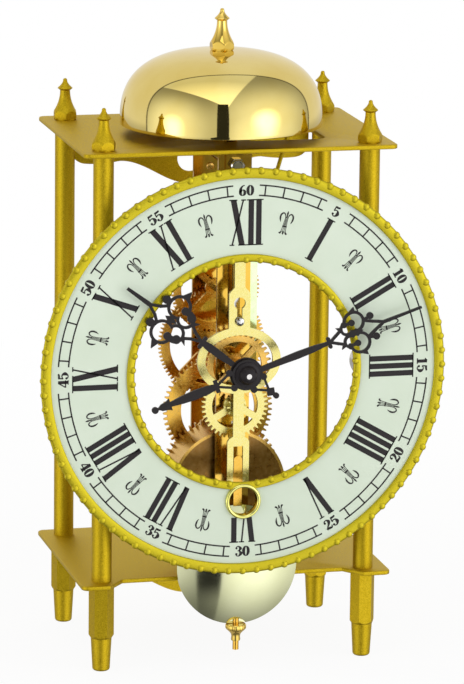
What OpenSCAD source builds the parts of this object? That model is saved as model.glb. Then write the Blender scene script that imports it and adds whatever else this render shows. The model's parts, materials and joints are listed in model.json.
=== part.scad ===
// Skeleton table clock with a passing bell strike, in millimetres.
// X is to the right of the dial, Y runs back from the dial, Z is up and the table is at zero.

/* [Case] */
// Distance between the pillar axes, side to side
pillar_span_x = 80; // [78:1:84]
// Distance between the pillar axes, front to back
pillar_span_y = 54.5; // [54:0.5:57]
// Diameter of a pillar
pillar_d = 6; // [5.5:0.5:6.5]
// Width of the top and bottom plates
plate_w = 94; // [93:1:98]
// Depth of the top and bottom plates
plate_d = 67.5; // [67:0.5:70]
// Thickness of the top and bottom plates
plate_t = 1.3; // [1.2:0.1:1.6]
// Height of the bottom plate's upper face above the table
deck_z = 27.4; // [27:0.2:28]
// Height of the top plate's upper face above the table
roof_z = 156.4; // [156:0.2:157]
// Height of a finial
finial_h = 12.4; // [11.6:0.2:13]
// Size across the corners of the hexagonal feet and finials
hex_d = 7.5; // [7.2:0.1:8]

/* [Dial] */
// Outer diameter of the dial with its beaded rim
dial_d = 122; // [121:0.2:122.4]
// Diameter of the opening in the dial
dial_opening_d = 65.3; // [64.5:0.1:65.7]
// Height of the hand centre above the table
dial_z = 91.2; // [91:0.1:91.4]
// Number of beads round the outer rim
outer_beads = 88; // [72:1:96]
// Number of beads round the inner rim
inner_beads = 50; // [40:1:56]
// Bore of the key hole in the dial
key_bore_d = 8.4; // [8:0.1:8.8]

/* [Hands] */
// Reach of the minute hand from the centre
minute_reach = 55.6; // [53:0.1:57.3]
// Reach of the hour hand from the centre
hour_reach = 44.6; // [42:0.1:48]
// Where the minute hand points, in degrees clockwise from twelve
minute_angle = 71; // [0:1:359]
// Where the hour hand points, in degrees clockwise from twelve
hour_angle = 307; // [0:1:359]

/* [Bell] */
// Diameter of the bell at its rim
bell_d = 60; // [58:0.5:62]
// Height of the bell
bell_h = 21.9; // [21:0.1:23]
// Gap between the top plate and the bell's rim
bell_gap = 3.2; // [3:0.1:4]
// How far the bell's axis lies in front of the pillar square's centre
bell_forward = 6.5; // [6:0.1:7]

/* [Wheel train] */
// Teeth of the escape wheel
escape_teeth = 50; // [40:2:60]

/* [Pendulum] */
// Diameter of the bob
bob_d = 36.4; // [35:0.1:37]
// Thickness of the bob at its middle
bob_t = 7.8; // [7:0.1:8]
// Height of the bob's middle above the table
bob_z = 31.4; // [31:0.1:32]
// Width of the pendulum strip
strip_w = 3.2; // [3:0.1:3.6]
// Thickness of the pendulum strip
strip_t = 1; // [0.8:0.1:1]

/* [Hidden] */

$fn = 64;

// Paint and metal colours
gold_paint = "#B9A62A";
polished_brass = "#E3CF7A";
pale_brass = "#D9CE82";
warm_brass = "#B57F1E";
bright_steel = "#C9C6C4";
enamel_white = "#D9E3D5";
hand_black = "#2E282A";

// Depths are measured from the pillar square's centre, which lies a little behind the origin
nut_front = 44.6;
frame_y = (nut_front - plate_d / 2) / 2;
roof_under = roof_z - plate_t;
deck_under = deck_z - plate_t;
pillar_x = pillar_span_x / 2;
pillar_y = pillar_span_y / 2;
pillar_r = pillar_d / 2;
hex_r = hex_d / 2;
stud_r = 1.45;
stud_depth = 9;

// Movement plates and the layers between them, front to back
movement_t = 1.2;
front_out = frame_y - 24.4;
front_in = front_out + movement_t;
rear_in = frame_y + 6.6;
rear_out = rear_in + movement_t;
movement_w = 10;
end_shake = 0.3;
pivot_r = 0.5;
pivot_gap = 0.04;
arbor_r = 0.8;

// Layers in front of the movement
dial_back = frame_y - 37.2;
dial_t = 1;
dial_front = dial_back - dial_t;
bezel_front = dial_front - 0.8;
hour_hand_back = frame_y - 40.1;
hand_t = 0.7;
minute_hand_back = frame_y - 41.2;
pendulum_y = frame_y - 31.5;
strip_back = pendulum_y + strip_t / 2;
strip_front = pendulum_y - strip_t / 2;

// Tooth counts of the going train and the motion work
great_teeth = 60;
intermediate_teeth = 62;
centre_teeth = 80;
third_teeth = 66;
pinion_leaves = 8;
escape_leaves = 6;
cannon_teeth = 12;
minute_teeth = 40;
minute_leaves = 10;
hour_teeth = 36;

// Gear sizes and the heights of the arbors on the centre line
great_m = 0.6;
intermediate_m = 0.525;
train_m = 0.4;
minute_m = 0.48;
minute_distance = (minute_teeth + cannon_teeth) * minute_m / 2;
hour_m = 2 * minute_distance / (hour_teeth + minute_leaves);
centre_z = dial_z;
intermediate_z = centre_z - (intermediate_teeth + pinion_leaves) * intermediate_m / 2;
barrel_z = intermediate_z - (great_teeth + pinion_leaves) * great_m / 2;
third_z = centre_z + (centre_teeth + pinion_leaves) * train_m / 2;
escape_z = third_z + (third_teeth + escape_leaves) * train_m / 2;
pallet_reach = 13.2;
pallet_z = escape_z + pallet_reach;
minute_z = centre_z - minute_distance;

// Tooth form: addendum and dedendum in modules, widths in pitches
wheel_add = 0.9;
leaf_add = 0.55;
tooth_ded = 1.35;
wheel_root_w = 0.56;
wheel_tip_w = 0.22;
leaf_root_w = 0.44;
leaf_tip_w = 0.22;

// Layers of the wheels
great_y = frame_y - 9.5;
great_t = 1.5;
intermediate_y = frame_y - 6.5;
centre_y = frame_y + 2.4;
third_y = frame_y - 1.6;
escape_y = frame_y + 2.4;
wheel_t = 1.1;
minute_y = frame_y - 27.4;
hour_y = frame_y - 29.9;
crutch_y = frame_y - 27.6;
cam_y = frame_y - 22.7;
lever_t = 1.2;

// Barrel
drum_r = 17.3;
drum_wall = 0.9;
drum_front = frame_y - 21;
drum_back = great_y;
cover_t = 0.9;
winding_core_r = 2.6;
winding_pivot_r = 1.6;
square_w = 3;
square_front = frame_y - 29.6;
ratchet_r = 6.3;
ratchet_y = rear_out + 0.5;
ratchet_teeth = 18;
click_rise = 11;
click_pivot_r = 0.9;

// Hammer
hammer_x = 13;
hammer_z = 130;
hammer_y = frame_y - bell_forward;
hammer_lean = 16.2;
hammer_length = 36;
lever_x = 5.2;
lever_w = 2.3;

// Bell
bell_r = bell_d / 2;
bell_y = frame_y - bell_forward;
bell_rim_z = roof_z + bell_gap;
bell_wall = 1;
bell_power = 2.7;
bell_steps = 20;
roof_open_x = [5, 29];
roof_open_y = [frame_y - 19.7, bell_y + 6.5];
roof_open_corner = 3.6;

// Dial
dial_r = dial_d / 2;
opening_r = dial_opening_d / 2;
outer_band = 3.3;
inner_band = 2.6;
bead_r = 1.05;
bead_sunk = 0.35;
key_bore_r = key_bore_d / 2;
grommet_wall = 0.5;
grommet_flange = 1.1;
grommet_front = bezel_front - 0.4;

// Pendulum
crutch_pin_z = 105.1;
crutch_pin_r = 0.75;
pin_gap = 0.05;
ring_z = 93.3;
ring_a = 12.6;
ring_b = 10;
ring_band = 2.4;
fork_top = 69.6;
fork_foot = 55.5;
fork_w = 6.6;
fork_slot = 2.9;
tongue_w = 2.5;
hanger_top = 64.5;
thread_r = 0.9;
thread_end = 5.2;
thread_top = bob_z - bob_d / 2 + 3.6;
bob_travel = 2.2;
spring_t = 0.16;
spring_w = 3;
spring_slit = 0.3;
head_z = pallet_z - 5.2;
cock_z = pallet_z + 5;

// Movement pillars
pillar_top_z = 150.5;
pillar_low_z = 31.3;
screw_r = 1.2;
tab_len = 9;
tab_screw = 5;

// Shapes that several pieces share
module lathe(points) {
  rotate_extrude() polygon(points);
}

module at(x, z) {
  translate([x, 0, z]) children();
}

module along_y(y0, y1) {
  translate([0, y1, 0]) rotate([90, 0, 0]) linear_extrude(y1 - y0) children();
}

module rod_y(y0, y1, r) {
  translate([0, y1, 0]) rotate([90, 0, 0]) cylinder(r = r, h = y1 - y0);
}

module pillar_places() {
  for (x = [-pillar_x, pillar_x], y = [-pillar_y, pillar_y]) translate([x, frame_y + y, 0]) children();
}

function tooth_points(n, m, add, root_w, tip_w) =
  let (r = n * m / 2, root = r - tooth_ded * m, tip = r + add * m)
  [for (i = [0:n - 1], c = [[-root_w, root], [-tip_w, tip], [tip_w, tip], [root_w, root]])
    let (a = (i + c[0] / 2) * 360 / n) c[1] * [cos(a), sin(a)]];

// A wheel whose first tooth points along the given angle
module wheel_2d(n, m, angle) {
  rotate(angle) polygon(tooth_points(n, m, wheel_add, wheel_root_w, wheel_tip_w));
}

// A pinion whose gap lies along the given angle
module pinion_2d(n, m, angle) {
  rotate(angle + 180 / n) polygon(tooth_points(n, m, leaf_add, leaf_root_w, leaf_tip_w));
}

// A toothed wheel crossed out to a rim, arms and a hub
module crossed_wheel_2d(n, m, angle, arms, rim_w, hub_r, arm_w, bore_r, arm_turn = 45) {
  rim_r = (n / 2 - tooth_ded) * m - rim_w;
  lap = 0.4;
  difference() {
    union() {
      difference() {
        wheel_2d(n, m, angle);
        circle(rim_r);
      }
      circle(hub_r);
      for (i = [0:arms - 1]) {
        rotate(angle + arm_turn + i * 360 / arms) translate([hub_r - lap, -arm_w / 2])
          square([rim_r - hub_r + 2 * lap, arm_w]);
      }
    }
    circle(bore_r);
  }
}

// An arbor that runs in both movement plates
module arbor_between(r) {
  rod_y(front_in + end_shake, rear_in - end_shake, r);
  rod_y(front_out, rear_out, pivot_r);
}

function finial_profile() =
  let (neck = 1.5, rim = 2.25, nipple = 0.62, flare_z = 1.5, neck_z = finial_h - 3.6, rim_z = finial_h - 3,
    wide = hex_r + 0.3)
  concat(
    [[0, 0], [wide - 0.75, 0], [wide, 0.75]],
    [for (s = [0:0.125:1]) [neck + (wide - neck) * pow(1 - s, 2.1), flare_z + s * (neck_z - flare_z)]],
    [[rim, rim_z]],
    [for (s = [0.2:0.2:1]) [nipple + (rim - nipple) * pow(1 - s, 1.7), rim_z + s * 2.3]],
    [[nipple * 0.8, finial_h - 0.2], [nipple * 0.4, finial_h], [0, finial_h]]);

module finial() {
  intersection() {
    translate([0, 0, -1]) cylinder(r = hex_r, h = finial_h + 2, $fn = 6);
    lathe(finial_profile());
  }
}

module hex_nut(r, h, bore) {
  difference() {
    cylinder(r = r, h = h, $fn = 6);
    translate([0, 0, -1]) cylinder(r = bore, h = h + 2);
  }
}

// Case
function round_cornered(x, y, r) =
  let (right = x[1] - r, left = x[0] + r, front = y[0] + r, back = y[1] - r)
  let (corners = [[right, front, -90], [right, back, 0], [left, back, 90], [left, front, 180]])
  [for (c = corners, a = [0:15:90]) [c[0] + r * cos(c[2] + a), c[1] + r * sin(c[2] + a)]];

module case_plate_outline(front_recess) {
  w = plate_w / 2;
  d = plate_d / 2;
  corner = 2;
  recess_y = -27.4;
  recess_x = 33.6;
  ear_x = 38.6;
  recess = [[-ear_x, -d], [-recess_x, recess_y], [recess_x, recess_y], [ear_x, -d]];
  polygon(concat(front_recess ? recess : [], round_cornered([-w, w], [-d, d], corner)));
}

module tab_screw_places() {
  translate([0, front_in + tab_screw, 0]) children();
  translate([0, rear_out + tab_screw, 0]) children();
}

module crest_screw_places() {
  for (x = [-18, 18]) translate([x, frame_y + 28.2, 0]) children();
}

module case_plate(under, front_recess) {
  difference() {
    translate([0, frame_y, under]) linear_extrude(plate_t) case_plate_outline(front_recess);
    pillar_places() translate([0, 0, under - 1]) cylinder(r = stud_r, h = plate_t + 2);
    tab_screw_places() translate([0, 0, under - 1]) cylinder(r = screw_r, h = plate_t + 2);
    crest_screw_places() translate([0, 0, under - 1]) cylinder(r = screw_r, h = plate_t + 2);
  }
}

module top_plate() {
  color(gold_paint) difference() {
    case_plate(roof_under, false);
    translate([0, bell_y, roof_under - 1]) cylinder(r = stud_r, h = plate_t + 2);
    translate([0, 0, roof_under - 1]) linear_extrude(plate_t + 2) {
      polygon(round_cornered(roof_open_x, roof_open_y, roof_open_corner));
    }
  }
}

module bottom_plate() {
  color(gold_paint) case_plate(deck_under, true);
}

module pillar(x, y) {
  cross_r = 1;
  color(gold_paint) translate([x, frame_y + y, 0]) difference() {
    translate([0, 0, deck_z]) cylinder(r = pillar_r, h = roof_under - deck_z);
    translate([0, 0, deck_z - 1]) cylinder(r = stud_r, h = stud_depth + 1);
    translate([0, 0, roof_under - stud_depth]) cylinder(r = stud_r, h = stud_depth + 1);
    if (y < 0) at(0, dial_z) rod_y(-pillar_r - 1, 0, cross_r);
  }
}

module pillar_front_left() {
  pillar(-pillar_x, -pillar_y);
}

module pillar_front_right() {
  pillar(pillar_x, -pillar_y);
}

module pillar_rear_left() {
  pillar(-pillar_x, pillar_y);
}

module pillar_rear_right() {
  pillar(pillar_x, pillar_y);
}

module finials() {
  turns = [10, 0, 24, 40];
  color(gold_paint) for (i = [0:3]) {
    translate([(i % 2 * 2 - 1) * pillar_x, frame_y + (floor(i / 2) * 2 - 1) * pillar_y, roof_z]) union() {
      rotate(turns[i]) finial();
      translate([0, 0, -plate_t - stud_depth + 0.5]) cylinder(r = stud_r, h = plate_t + stud_depth);
    }
  }
}

module feet() {
  turns = [-14, 2, -14, 22];
  sole_r = 2.6;
  shank_r = 3.1;
  hex_low = 10;
  round_r = 0.8;
  wide = hex_r + 0.5;
  color(gold_paint) for (i = [0:3]) {
    translate([(i % 2 * 2 - 1) * pillar_x, frame_y + (floor(i / 2) * 2 - 1) * pillar_y, 0]) union() {
      rotate(turns[i]) intersection() {
        translate([0, 0, -1]) cylinder(r = hex_r, h = deck_under + 1, $fn = 6);
        lathe([[0, 0], [sole_r - round_r, 0], [sole_r - 0.3 * round_r, 0.3 * round_r], [sole_r, round_r],
          [shank_r, hex_low], [wide, hex_low + 1.6], [wide, deck_under + 1], [0, deck_under + 1]]);
      }
      translate([0, 0, deck_under - 2]) cylinder(r = stud_r, h = plate_t + stud_depth + 1.5);
    }
  }
}

// Rear crest: a shaped sheet hung under a plate from a bent flange
module crest(under) {
  half_w = 37;
  shoulder_drop = 12.9;
  centre_rise = 7.6;
  centre_half = 22;
  lobe_rise = 0.7;
  end_x = 33;
  end_r = 4.2;
  end_lift = 3.6;
  sheet_t = 1.2;
  flange_half = 34;
  flange_y = frame_y + 24.4;
  sheet_y = frame_y + 31.6;
  hole_r = 4.15;
  hole_drop = 12.7;
  centre_lobe = function (x) x < centre_half
    ? centre_rise * (0.5 + 0.5 * cos(180 * x / centre_half))
    : 0;
  side_lobe = function (x) x < centre_half
    ? 0
    : lobe_rise * sin(180 * (x - centre_half) / (half_w - centre_half));
  end_curve = function (x) x < end_x ? 0 : end_lift * (1 - sqrt(1 - pow((x - end_x) / end_r, 2)));
  low = function (x) shoulder_drop + centre_lobe(abs(x)) + side_lobe(abs(x)) - end_curve(abs(x));
  color(gold_paint) difference() {
    union() {
      along_y(sheet_y, sheet_y + sheet_t) polygon(concat(
        [[-half_w, under], [half_w, under]],
        [for (x = [half_w:-1:-half_w]) [x, under - low(x)]]));
      translate([-flange_half, flange_y, under - sheet_t]) {
        cube([2 * flange_half, sheet_y - flange_y + 0.1, sheet_t]);
      }
    }
    at(0, under - hole_drop) rod_y(sheet_y - 1, sheet_y + sheet_t + 1, hole_r);
    crest_screw_places() translate([0, 0, under - sheet_t - 1]) cylinder(r = screw_r, h = sheet_t + 2);
  }
}

module upper_crest() {
  crest(roof_under);
}

module lower_crest() {
  crest(deck_under);
}

// Movement frame
module movement_outline() {
  ear_r = 3;
  ear_h = 5;
  union() {
    translate([-movement_w / 2, deck_z]) square([movement_w, roof_under - deck_z]);
    translate([hammer_x, hammer_z]) circle(ear_r);
    translate([0, hammer_z - ear_h / 2]) square([hammer_x, ear_h]);
  }
}

module pivot_holes(y0, y1) {
  for (z = [intermediate_z, third_z, escape_z]) at(0, z) rod_y(y0, y1, pivot_r + pivot_gap);
  at(0, barrel_z) rod_y(y0, y1, winding_pivot_r + pivot_gap);
  at(hammer_x, hammer_z) rod_y(y0, y1, pivot_r + pivot_gap);
  for (z = [pillar_top_z, pillar_low_z]) at(0, z) rod_y(y0, y1, screw_r);
}

module movement_tabs(y) {
  for (z = [deck_z, roof_under - movement_t]) {
    difference() {
      translate([-movement_w / 2, y - 0.1, z]) cube([movement_w, tab_len + 0.1, movement_t]);
      translate([0, y + tab_screw, z - 1]) cylinder(r = screw_r, h = movement_t + 2);
    }
  }
}

module front_plate() {
  stud_len = 6;
  minute_stud_r = 1;
  color(warm_brass) union() {
    difference() {
      along_y(front_out, front_in) movement_outline();
      pivot_holes(front_out - 1, front_in + 1);
      at(0, centre_z) rod_y(front_out - 1, front_in + 1, hand_arbor_r + pivot_gap);
      at(0, pallet_z) rod_y(front_out - 1, front_in + 1, arbor_r + pivot_gap);
    }
    movement_tabs(front_in);
    at(0, minute_z) rod_y(front_out - stud_len, front_out + 0.1, minute_stud_r);
  }
}

module rear_plate() {
  click_stud_len = 2.4;
  color(warm_brass) union() {
    difference() {
      along_y(rear_in, rear_out) movement_outline();
      pivot_holes(rear_in - 1, rear_out + 1);
      for (z = [centre_z, pallet_z]) at(0, z) rod_y(rear_in - 1, rear_out + 1, pivot_r + pivot_gap);
    }
    movement_tabs(rear_out);
    at(0, barrel_z + click_rise) rod_y(rear_out - 0.1, rear_out + click_stud_len, click_pivot_r);
  }
}

module movement_pillars() {
  body_r = 2.2;
  color(warm_brass) for (z = [pillar_top_z, pillar_low_z]) at(0, z) union() {
    rod_y(front_in, rear_in, body_r);
    rod_y(front_out - 3.4, rear_out + 2.2, screw_r);
  }
}

module nuts() {
  nut_r = 2.3;
  nut_h = 1.8;
  cock_t = 1.2;
  color(bright_steel) union() {
    at(0, pillar_top_z) translate([0, front_out - cock_t, 0]) rotate([90, 0, 0]) hex_nut(nut_r, nut_h, screw_r);
    at(0, pillar_low_z) translate([0, front_out, 0]) rotate([90, 0, 0]) hex_nut(nut_r, nut_h, screw_r);
    for (z = [pillar_top_z, pillar_low_z]) {
      at(0, z) translate([0, rear_out + nut_h, 0]) rotate([90, 0, 0]) hex_nut(nut_r, nut_h, screw_r);
    }
    translate([0, bell_y, roof_under - nut_h]) hex_nut(nut_r, nut_h, stud_r);
  }
}

// A round-headed screw that points up
module screw_up(len) {
  head_r = 2.1;
  head_h = 1.1;
  slot_w = 0.5;
  difference() {
    union() {
      translate([0, 0, -head_h]) cylinder(r1 = head_r - 0.4, r2 = head_r, h = head_h);
      translate([0, 0, -0.1]) cylinder(r = screw_r, h = len + 0.1);
    }
    translate([-head_r - 1, -slot_w / 2, -head_h - 1]) cube([2 * head_r + 2, slot_w, 1.5]);
  }
}

module case_screws() {
  len = plate_t + movement_t;
  color(warm_brass) union() {
    tab_screw_places() translate([0, 0, roof_z]) mirror([0, 0, 1]) screw_up(len);
    tab_screw_places() translate([0, 0, deck_under]) screw_up(len);
    crest_screw_places() translate([0, 0, roof_z]) mirror([0, 0, 1]) screw_up(len);
    crest_screw_places() translate([0, 0, deck_z]) mirror([0, 0, 1]) screw_up(len);
  }
}

// Dial
module key_hole_cut() {
  at(0, barrel_z) rod_y(dial_front - 5, dial_back + 5, key_bore_r + grommet_wall);
}

module dial_ring() {
  color(enamel_white) difference() {
    at(0, dial_z) difference() {
      rod_y(dial_front, dial_back, dial_r - 0.4);
      rod_y(dial_front - 1, dial_back + 1, opening_r + 0.4);
    }
    key_hole_cut();
  }
}

// A raised rim in front of the dial with a row of beads along one edge
module beaded_rim(r_in, r_out, bead_ring_r, beads) {
  union() {
    at(0, dial_z) difference() {
      rod_y(bezel_front, dial_front, r_out);
      rod_y(bezel_front - 1, dial_front + 1, r_in);
    }
    at(0, dial_z) for (i = [0:beads - 1]) {
      rotate([0, i * 360 / beads, 0]) translate([0, bezel_front + bead_sunk, bead_ring_r]) sphere(r = bead_r, $fn = 24);
    }
  }
}

module outer_bezel() {
  color(gold_paint) intersection() {
    beaded_rim(dial_r - outer_band, dial_r - 0.35, dial_r - bead_r, outer_beads);
    at(0, dial_z) rod_y(bezel_front - 2, dial_front, dial_r + 1);
  }
}

module inner_bezel() {
  color(gold_paint) difference() {
    intersection() {
      beaded_rim(opening_r + 0.35, opening_r + inner_band, opening_r + bead_r, inner_beads);
      at(0, dial_z) rod_y(bezel_front - 2, dial_front, dial_r);
    }
    at(0, barrel_z) rod_y(bezel_front - 3, dial_back + 1, key_bore_r + grommet_flange);
  }
}

module key_grommet() {
  color(polished_brass) at(0, barrel_z) difference() {
    union() {
      rod_y(grommet_front, dial_front, key_bore_r + grommet_flange);
      rod_y(grommet_front, dial_back + 0.6, key_bore_r + grommet_wall);
    }
    rod_y(grommet_front - 1, dial_back + 2, key_bore_r);
  }
}

module dial_spacers() {
  spacer_r = 5.4;
  pin_r = 1;
  color(bright_steel) for (x = [-pillar_x, pillar_x]) translate([x, 0, dial_z]) union() {
    difference() {
      rod_y(dial_back, frame_y - pillar_y - 0.8, spacer_r);
      translate([0, frame_y - pillar_y, -20]) cylinder(r = pillar_r, h = 40);
    }
    rod_y(dial_back + 0.5, frame_y - pillar_y - 0.5, pin_r);
  }
}

// Bell
function bell_curve(r, h) =
  [for (i = [0:bell_steps])
    let (a = 90 * i / bell_steps) [r * pow(cos(a), 2 / bell_power), h * pow(sin(a), 2 / bell_power)]];

module bell() {
  outer = bell_curve(bell_r, bell_h);
  inner = bell_curve(bell_r - bell_wall, bell_h - bell_wall);
  bore = stud_r - 0.25;
  color(polished_brass) translate([0, bell_y, bell_rim_z]) difference() {
    lathe(concat(outer, [for (i = [bell_steps:-1:0]) inner[i]]));
    cylinder(r = bore, h = bell_h + 1);
  }
}

module bell_stud() {
  shoulder_r = 2.2;
  crown = bell_rim_z + bell_h - bell_wall;
  color(warm_brass) translate([0, bell_y, 0]) union() {
    translate([0, 0, roof_z]) cylinder(r = shoulder_r, h = crown - roof_z);
    translate([0, 0, roof_under - 2]) cylinder(r = stud_r, h = plate_t + 3);
    translate([0, 0, crown - 1]) cylinder(r = stud_r - 0.25, h = bell_wall + 6);
  }
}

module bell_finial() {
  color(polished_brass) translate([0, bell_y, bell_rim_z + bell_h]) difference() {
    rotate(30) finial();
    translate([0, 0, -1]) cylinder(r = stud_r - 0.25, h = 6);
  }
}

// Suspension
module suspension_cock() {
  cock_w = 6;
  cock_t = 1.2;
  arm_h = 6;
  arm_front = pendulum_y - 1.9;
  color(warm_brass) difference() {
    union() {
      translate([-cock_w / 2, front_out - cock_t, cock_z]) cube([cock_w, cock_t, roof_under - 1 - cock_z]);
      translate([-cock_w / 2, arm_front, cock_z]) cube([cock_w, front_out - arm_front - 0.1, arm_h]);
    }
    at(0, pillar_top_z) rod_y(front_out - 3, front_out + 1, screw_r);
    translate([-spring_slit / 2, arm_front - 1, cock_z - 1]) cube([spring_slit, spring_w + 2, arm_h - 1]);
  }
}

module suspension_spring() {
  z0 = head_z + 1.4;
  z1 = cock_z + 3.6;
  color(bright_steel) translate([-spring_t / 2, pendulum_y - spring_w / 2, z0]) cube([spring_t, spring_w, z1 - z0]);
}

// Going barrel
module barrel_drum() {
  color(warm_brass) at(0, barrel_z) difference() {
    rod_y(drum_front, drum_back, drum_r);
    rod_y(drum_front - 1, drum_back - 1, drum_r - drum_wall);
    rod_y(drum_front, drum_back + 1, winding_pivot_r + pivot_gap);
  }
}

module barrel_cover() {
  lip = 0.3;
  color(warm_brass) at(0, barrel_z) difference() {
    rod_y(drum_front + lip, drum_front + lip + cover_t, drum_r - drum_wall);
    rod_y(drum_front - 1, drum_front + 3, winding_pivot_r + pivot_gap);
  }
}

module great_wheel() {
  bore = winding_pivot_r + pivot_gap;
  color(warm_brass) at(0, barrel_z) along_y(great_y, great_y + great_t) difference() {
    wheel_2d(great_teeth, great_m, 90);
    circle(bore);
  }
}

// Spiral strip from the arbor's core out to the drum wall
module mainspring() {
  turns = 7;
  strip = 0.5;
  r0 = winding_core_r + 0.4;
  r1 = drum_r - drum_wall - strip - 0.1;
  step = 15;
  sweep = function (i, w) let (a = i * step, r = r0 + (r1 - r0) * a / (360 * turns) + w) r * [cos(a), sin(a)];
  count = 360 * turns / step;
  color(bright_steel) at(0, barrel_z) along_y(drum_front + 1.8, drum_back - 1.6) polygon(concat(
    [for (i = [0:count]) sweep(i, 0)],
    [for (i = [count:-1:0]) sweep(i, strip)]));
}

module winding_arbor() {
  tail = ratchet_y + 2.2;
  color(bright_steel) at(0, barrel_z) union() {
    translate([-square_w / 2, square_front, -square_w / 2]) cube([square_w, front_out - square_front, square_w]);
    rod_y(front_out - 0.2, tail, winding_pivot_r);
    rod_y(drum_front + 1.4, drum_back - 1.2, winding_core_r);
  }
}

module ratchet_wheel() {
  root_r = 5.3;
  pitch = 360 / ratchet_teeth;
  color(bright_steel) at(0, barrel_z) along_y(ratchet_y, ratchet_y + wheel_t) difference() {
    polygon([for (i = [0:ratchet_teeth - 1], c = [[ratchet_r, 0], [root_r, 0.12]])
      c[1] == 0 ? c[0] * [cos(i * pitch), sin(i * pitch)]
        : c[0] * [cos((i + c[1]) * pitch), sin((i + c[1]) * pitch)]]);
    circle(winding_pivot_r);
  }
}

module click() {
  head = 1.9;
  nose = [4.9, -6.5];
  color(bright_steel) at(0, barrel_z + click_rise) along_y(ratchet_y, ratchet_y + wheel_t) difference() {
    union() {
      circle(head);
      polygon([[-1.2, -1.4], nose, nose + [0.7, 1], [1.6, 1]]);
    }
    circle(click_pivot_r + pivot_gap);
  }
}

module click_spring() {
  foot_x = -3.4;
  foot_z = barrel_z + click_rise + 6;
  blade = 0.45;
  color(bright_steel) union() {
    at(foot_x, foot_z) rod_y(rear_out, ratchet_y + wheel_t, 1.1);
    along_y(ratchet_y, ratchet_y + 0.8) polygon([[foot_x, foot_z - blade], [foot_x, foot_z + blade],
      [4.6, foot_z - 1.2], [5.6, foot_z - 3.4], [5.2, foot_z - 3.6], [4.2, foot_z - 1.2 - blade]]);
  }
}

// Going train
module train_pinion(n, m, y0, y1) {
  along_y(y0, y1) pinion_2d(n, m, -90);
}

module train_wheel(n, m, y, arms, rim_w, hub_r, bore_r) {
  arm_w = 1.9;
  along_y(y, y + wheel_t) crossed_wheel_2d(n, m, 90, arms, rim_w, hub_r, arm_w, bore_r);
}

module intermediate_arbor() {
  color(bright_steel) at(0, intermediate_z) union() {
    arbor_between(arbor_r);
    train_pinion(pinion_leaves, great_m, great_y + 0.1, great_y + great_t + 0.9);
  }
}

module intermediate_wheel() {
  color(warm_brass) at(0, intermediate_z)
    train_wheel(intermediate_teeth, intermediate_m, intermediate_y, 4, 4.2, 3.4, arbor_r);
}

// Pinion and sleeve that turn on the hand arbor
module centre_pinion() {
  sleeve_r = 1.15;
  color(bright_steel) at(0, centre_z) difference() {
    union() {
      train_pinion(pinion_leaves, intermediate_m, intermediate_y - 0.9, intermediate_y + 2.2);
      rod_y(intermediate_y - 0.9, centre_y + 2.4, sleeve_r);
    }
    rod_y(intermediate_y - 2, centre_y + 4, rear_arbor_r + pivot_gap);
  }
}

module centre_wheel() {
  color(warm_brass) at(0, centre_z) train_wheel(centre_teeth, train_m, centre_y, 4, 2.6, 3.6, 1.15);
}

module third_arbor() {
  color(bright_steel) at(0, third_z) union() {
    arbor_between(arbor_r);
    train_pinion(pinion_leaves, train_m, centre_y - 0.8, centre_y + wheel_t + 0.8);
  }
}

module third_wheel() {
  color(warm_brass) at(0, third_z) train_wheel(third_teeth, train_m, third_y, 4, 2.2, 3, arbor_r);
}

module escape_arbor() {
  core_r = 0.62;
  color(bright_steel) at(0, escape_z) union() {
    arbor_between(core_r);
    train_pinion(escape_leaves, train_m, third_y - 0.8, third_y + wheel_t + 0.8);
  }
}

escape_r = 9.2;

module escape_wheel() {
  root_r = 8;
  rim_r = 6.6;
  hub_r = 2;
  arm_w = 1.2;
  pitch = 360 / escape_teeth;
  saw = [[root_r, 0], [escape_r, 0.34], [escape_r, 0.46], [root_r, 0.56]];
  color(warm_brass) at(0, escape_z) along_y(escape_y, escape_y + wheel_t) difference() {
    union() {
      difference() {
        polygon([for (i = [0:escape_teeth - 1], c = saw) c[0] * [cos((i + c[1]) * pitch), sin((i + c[1]) * pitch)]]);
        circle(rim_r);
      }
      circle(hub_r);
      for (i = [0:3]) rotate(45 + i * 90) translate([hub_r - 0.4, -arm_w / 2]) square([rim_r - hub_r + 0.8, arm_w]);
    }
    circle(0.62);
  }
}

// Hand arbor, motion work and hands
hand_arbor_r = 1.5;
rear_arbor_r = 0.8;
cannon_pipe_r = 1.95;
hour_pipe_r = 2.6;

module hand_arbor() {
  color(bright_steel) at(0, centre_z) union() {
    rod_y(intermediate_y - 1.2, rear_in - end_shake, rear_arbor_r);
    rod_y(front_out, rear_out, pivot_r);
    rod_y(minute_hand_back - hand_t, intermediate_y - 1.2, hand_arbor_r);
    rod_y(frame_y - nut_front + 0.15, intermediate_y - 2, rear_arbor_r);
  }
}

// Two-lobed snail that lifts the hammer at the hour and the half hour
module strike_cam() {
  low = 2.6;
  high = 4.9;
  lobes = 2;
  step = 10;
  span = 360 / lobes;
  color(warm_brass) at(0, centre_z) along_y(cam_y, cam_y + lever_t) difference() {
    polygon([for (k = [0:lobes - 1], a = [0:step:span - step])
      let (r = low + (high - low) * a / (span - step)) r * [cos(-k * span - a + 40), sin(-k * span - a + 40)]]);
    circle(hand_arbor_r);
  }
}

module cannon_pinion() {
  color(pale_brass) at(0, centre_z) difference() {
    union() {
      along_y(minute_y - 0.2, minute_y + wheel_t + 0.2) pinion_2d(cannon_teeth, minute_m, -90);
      rod_y(minute_hand_back, front_out - 0.3, cannon_pipe_r);
    }
    rod_y(minute_hand_back - 1, front_out + 1, hand_arbor_r);
  }
}

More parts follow.
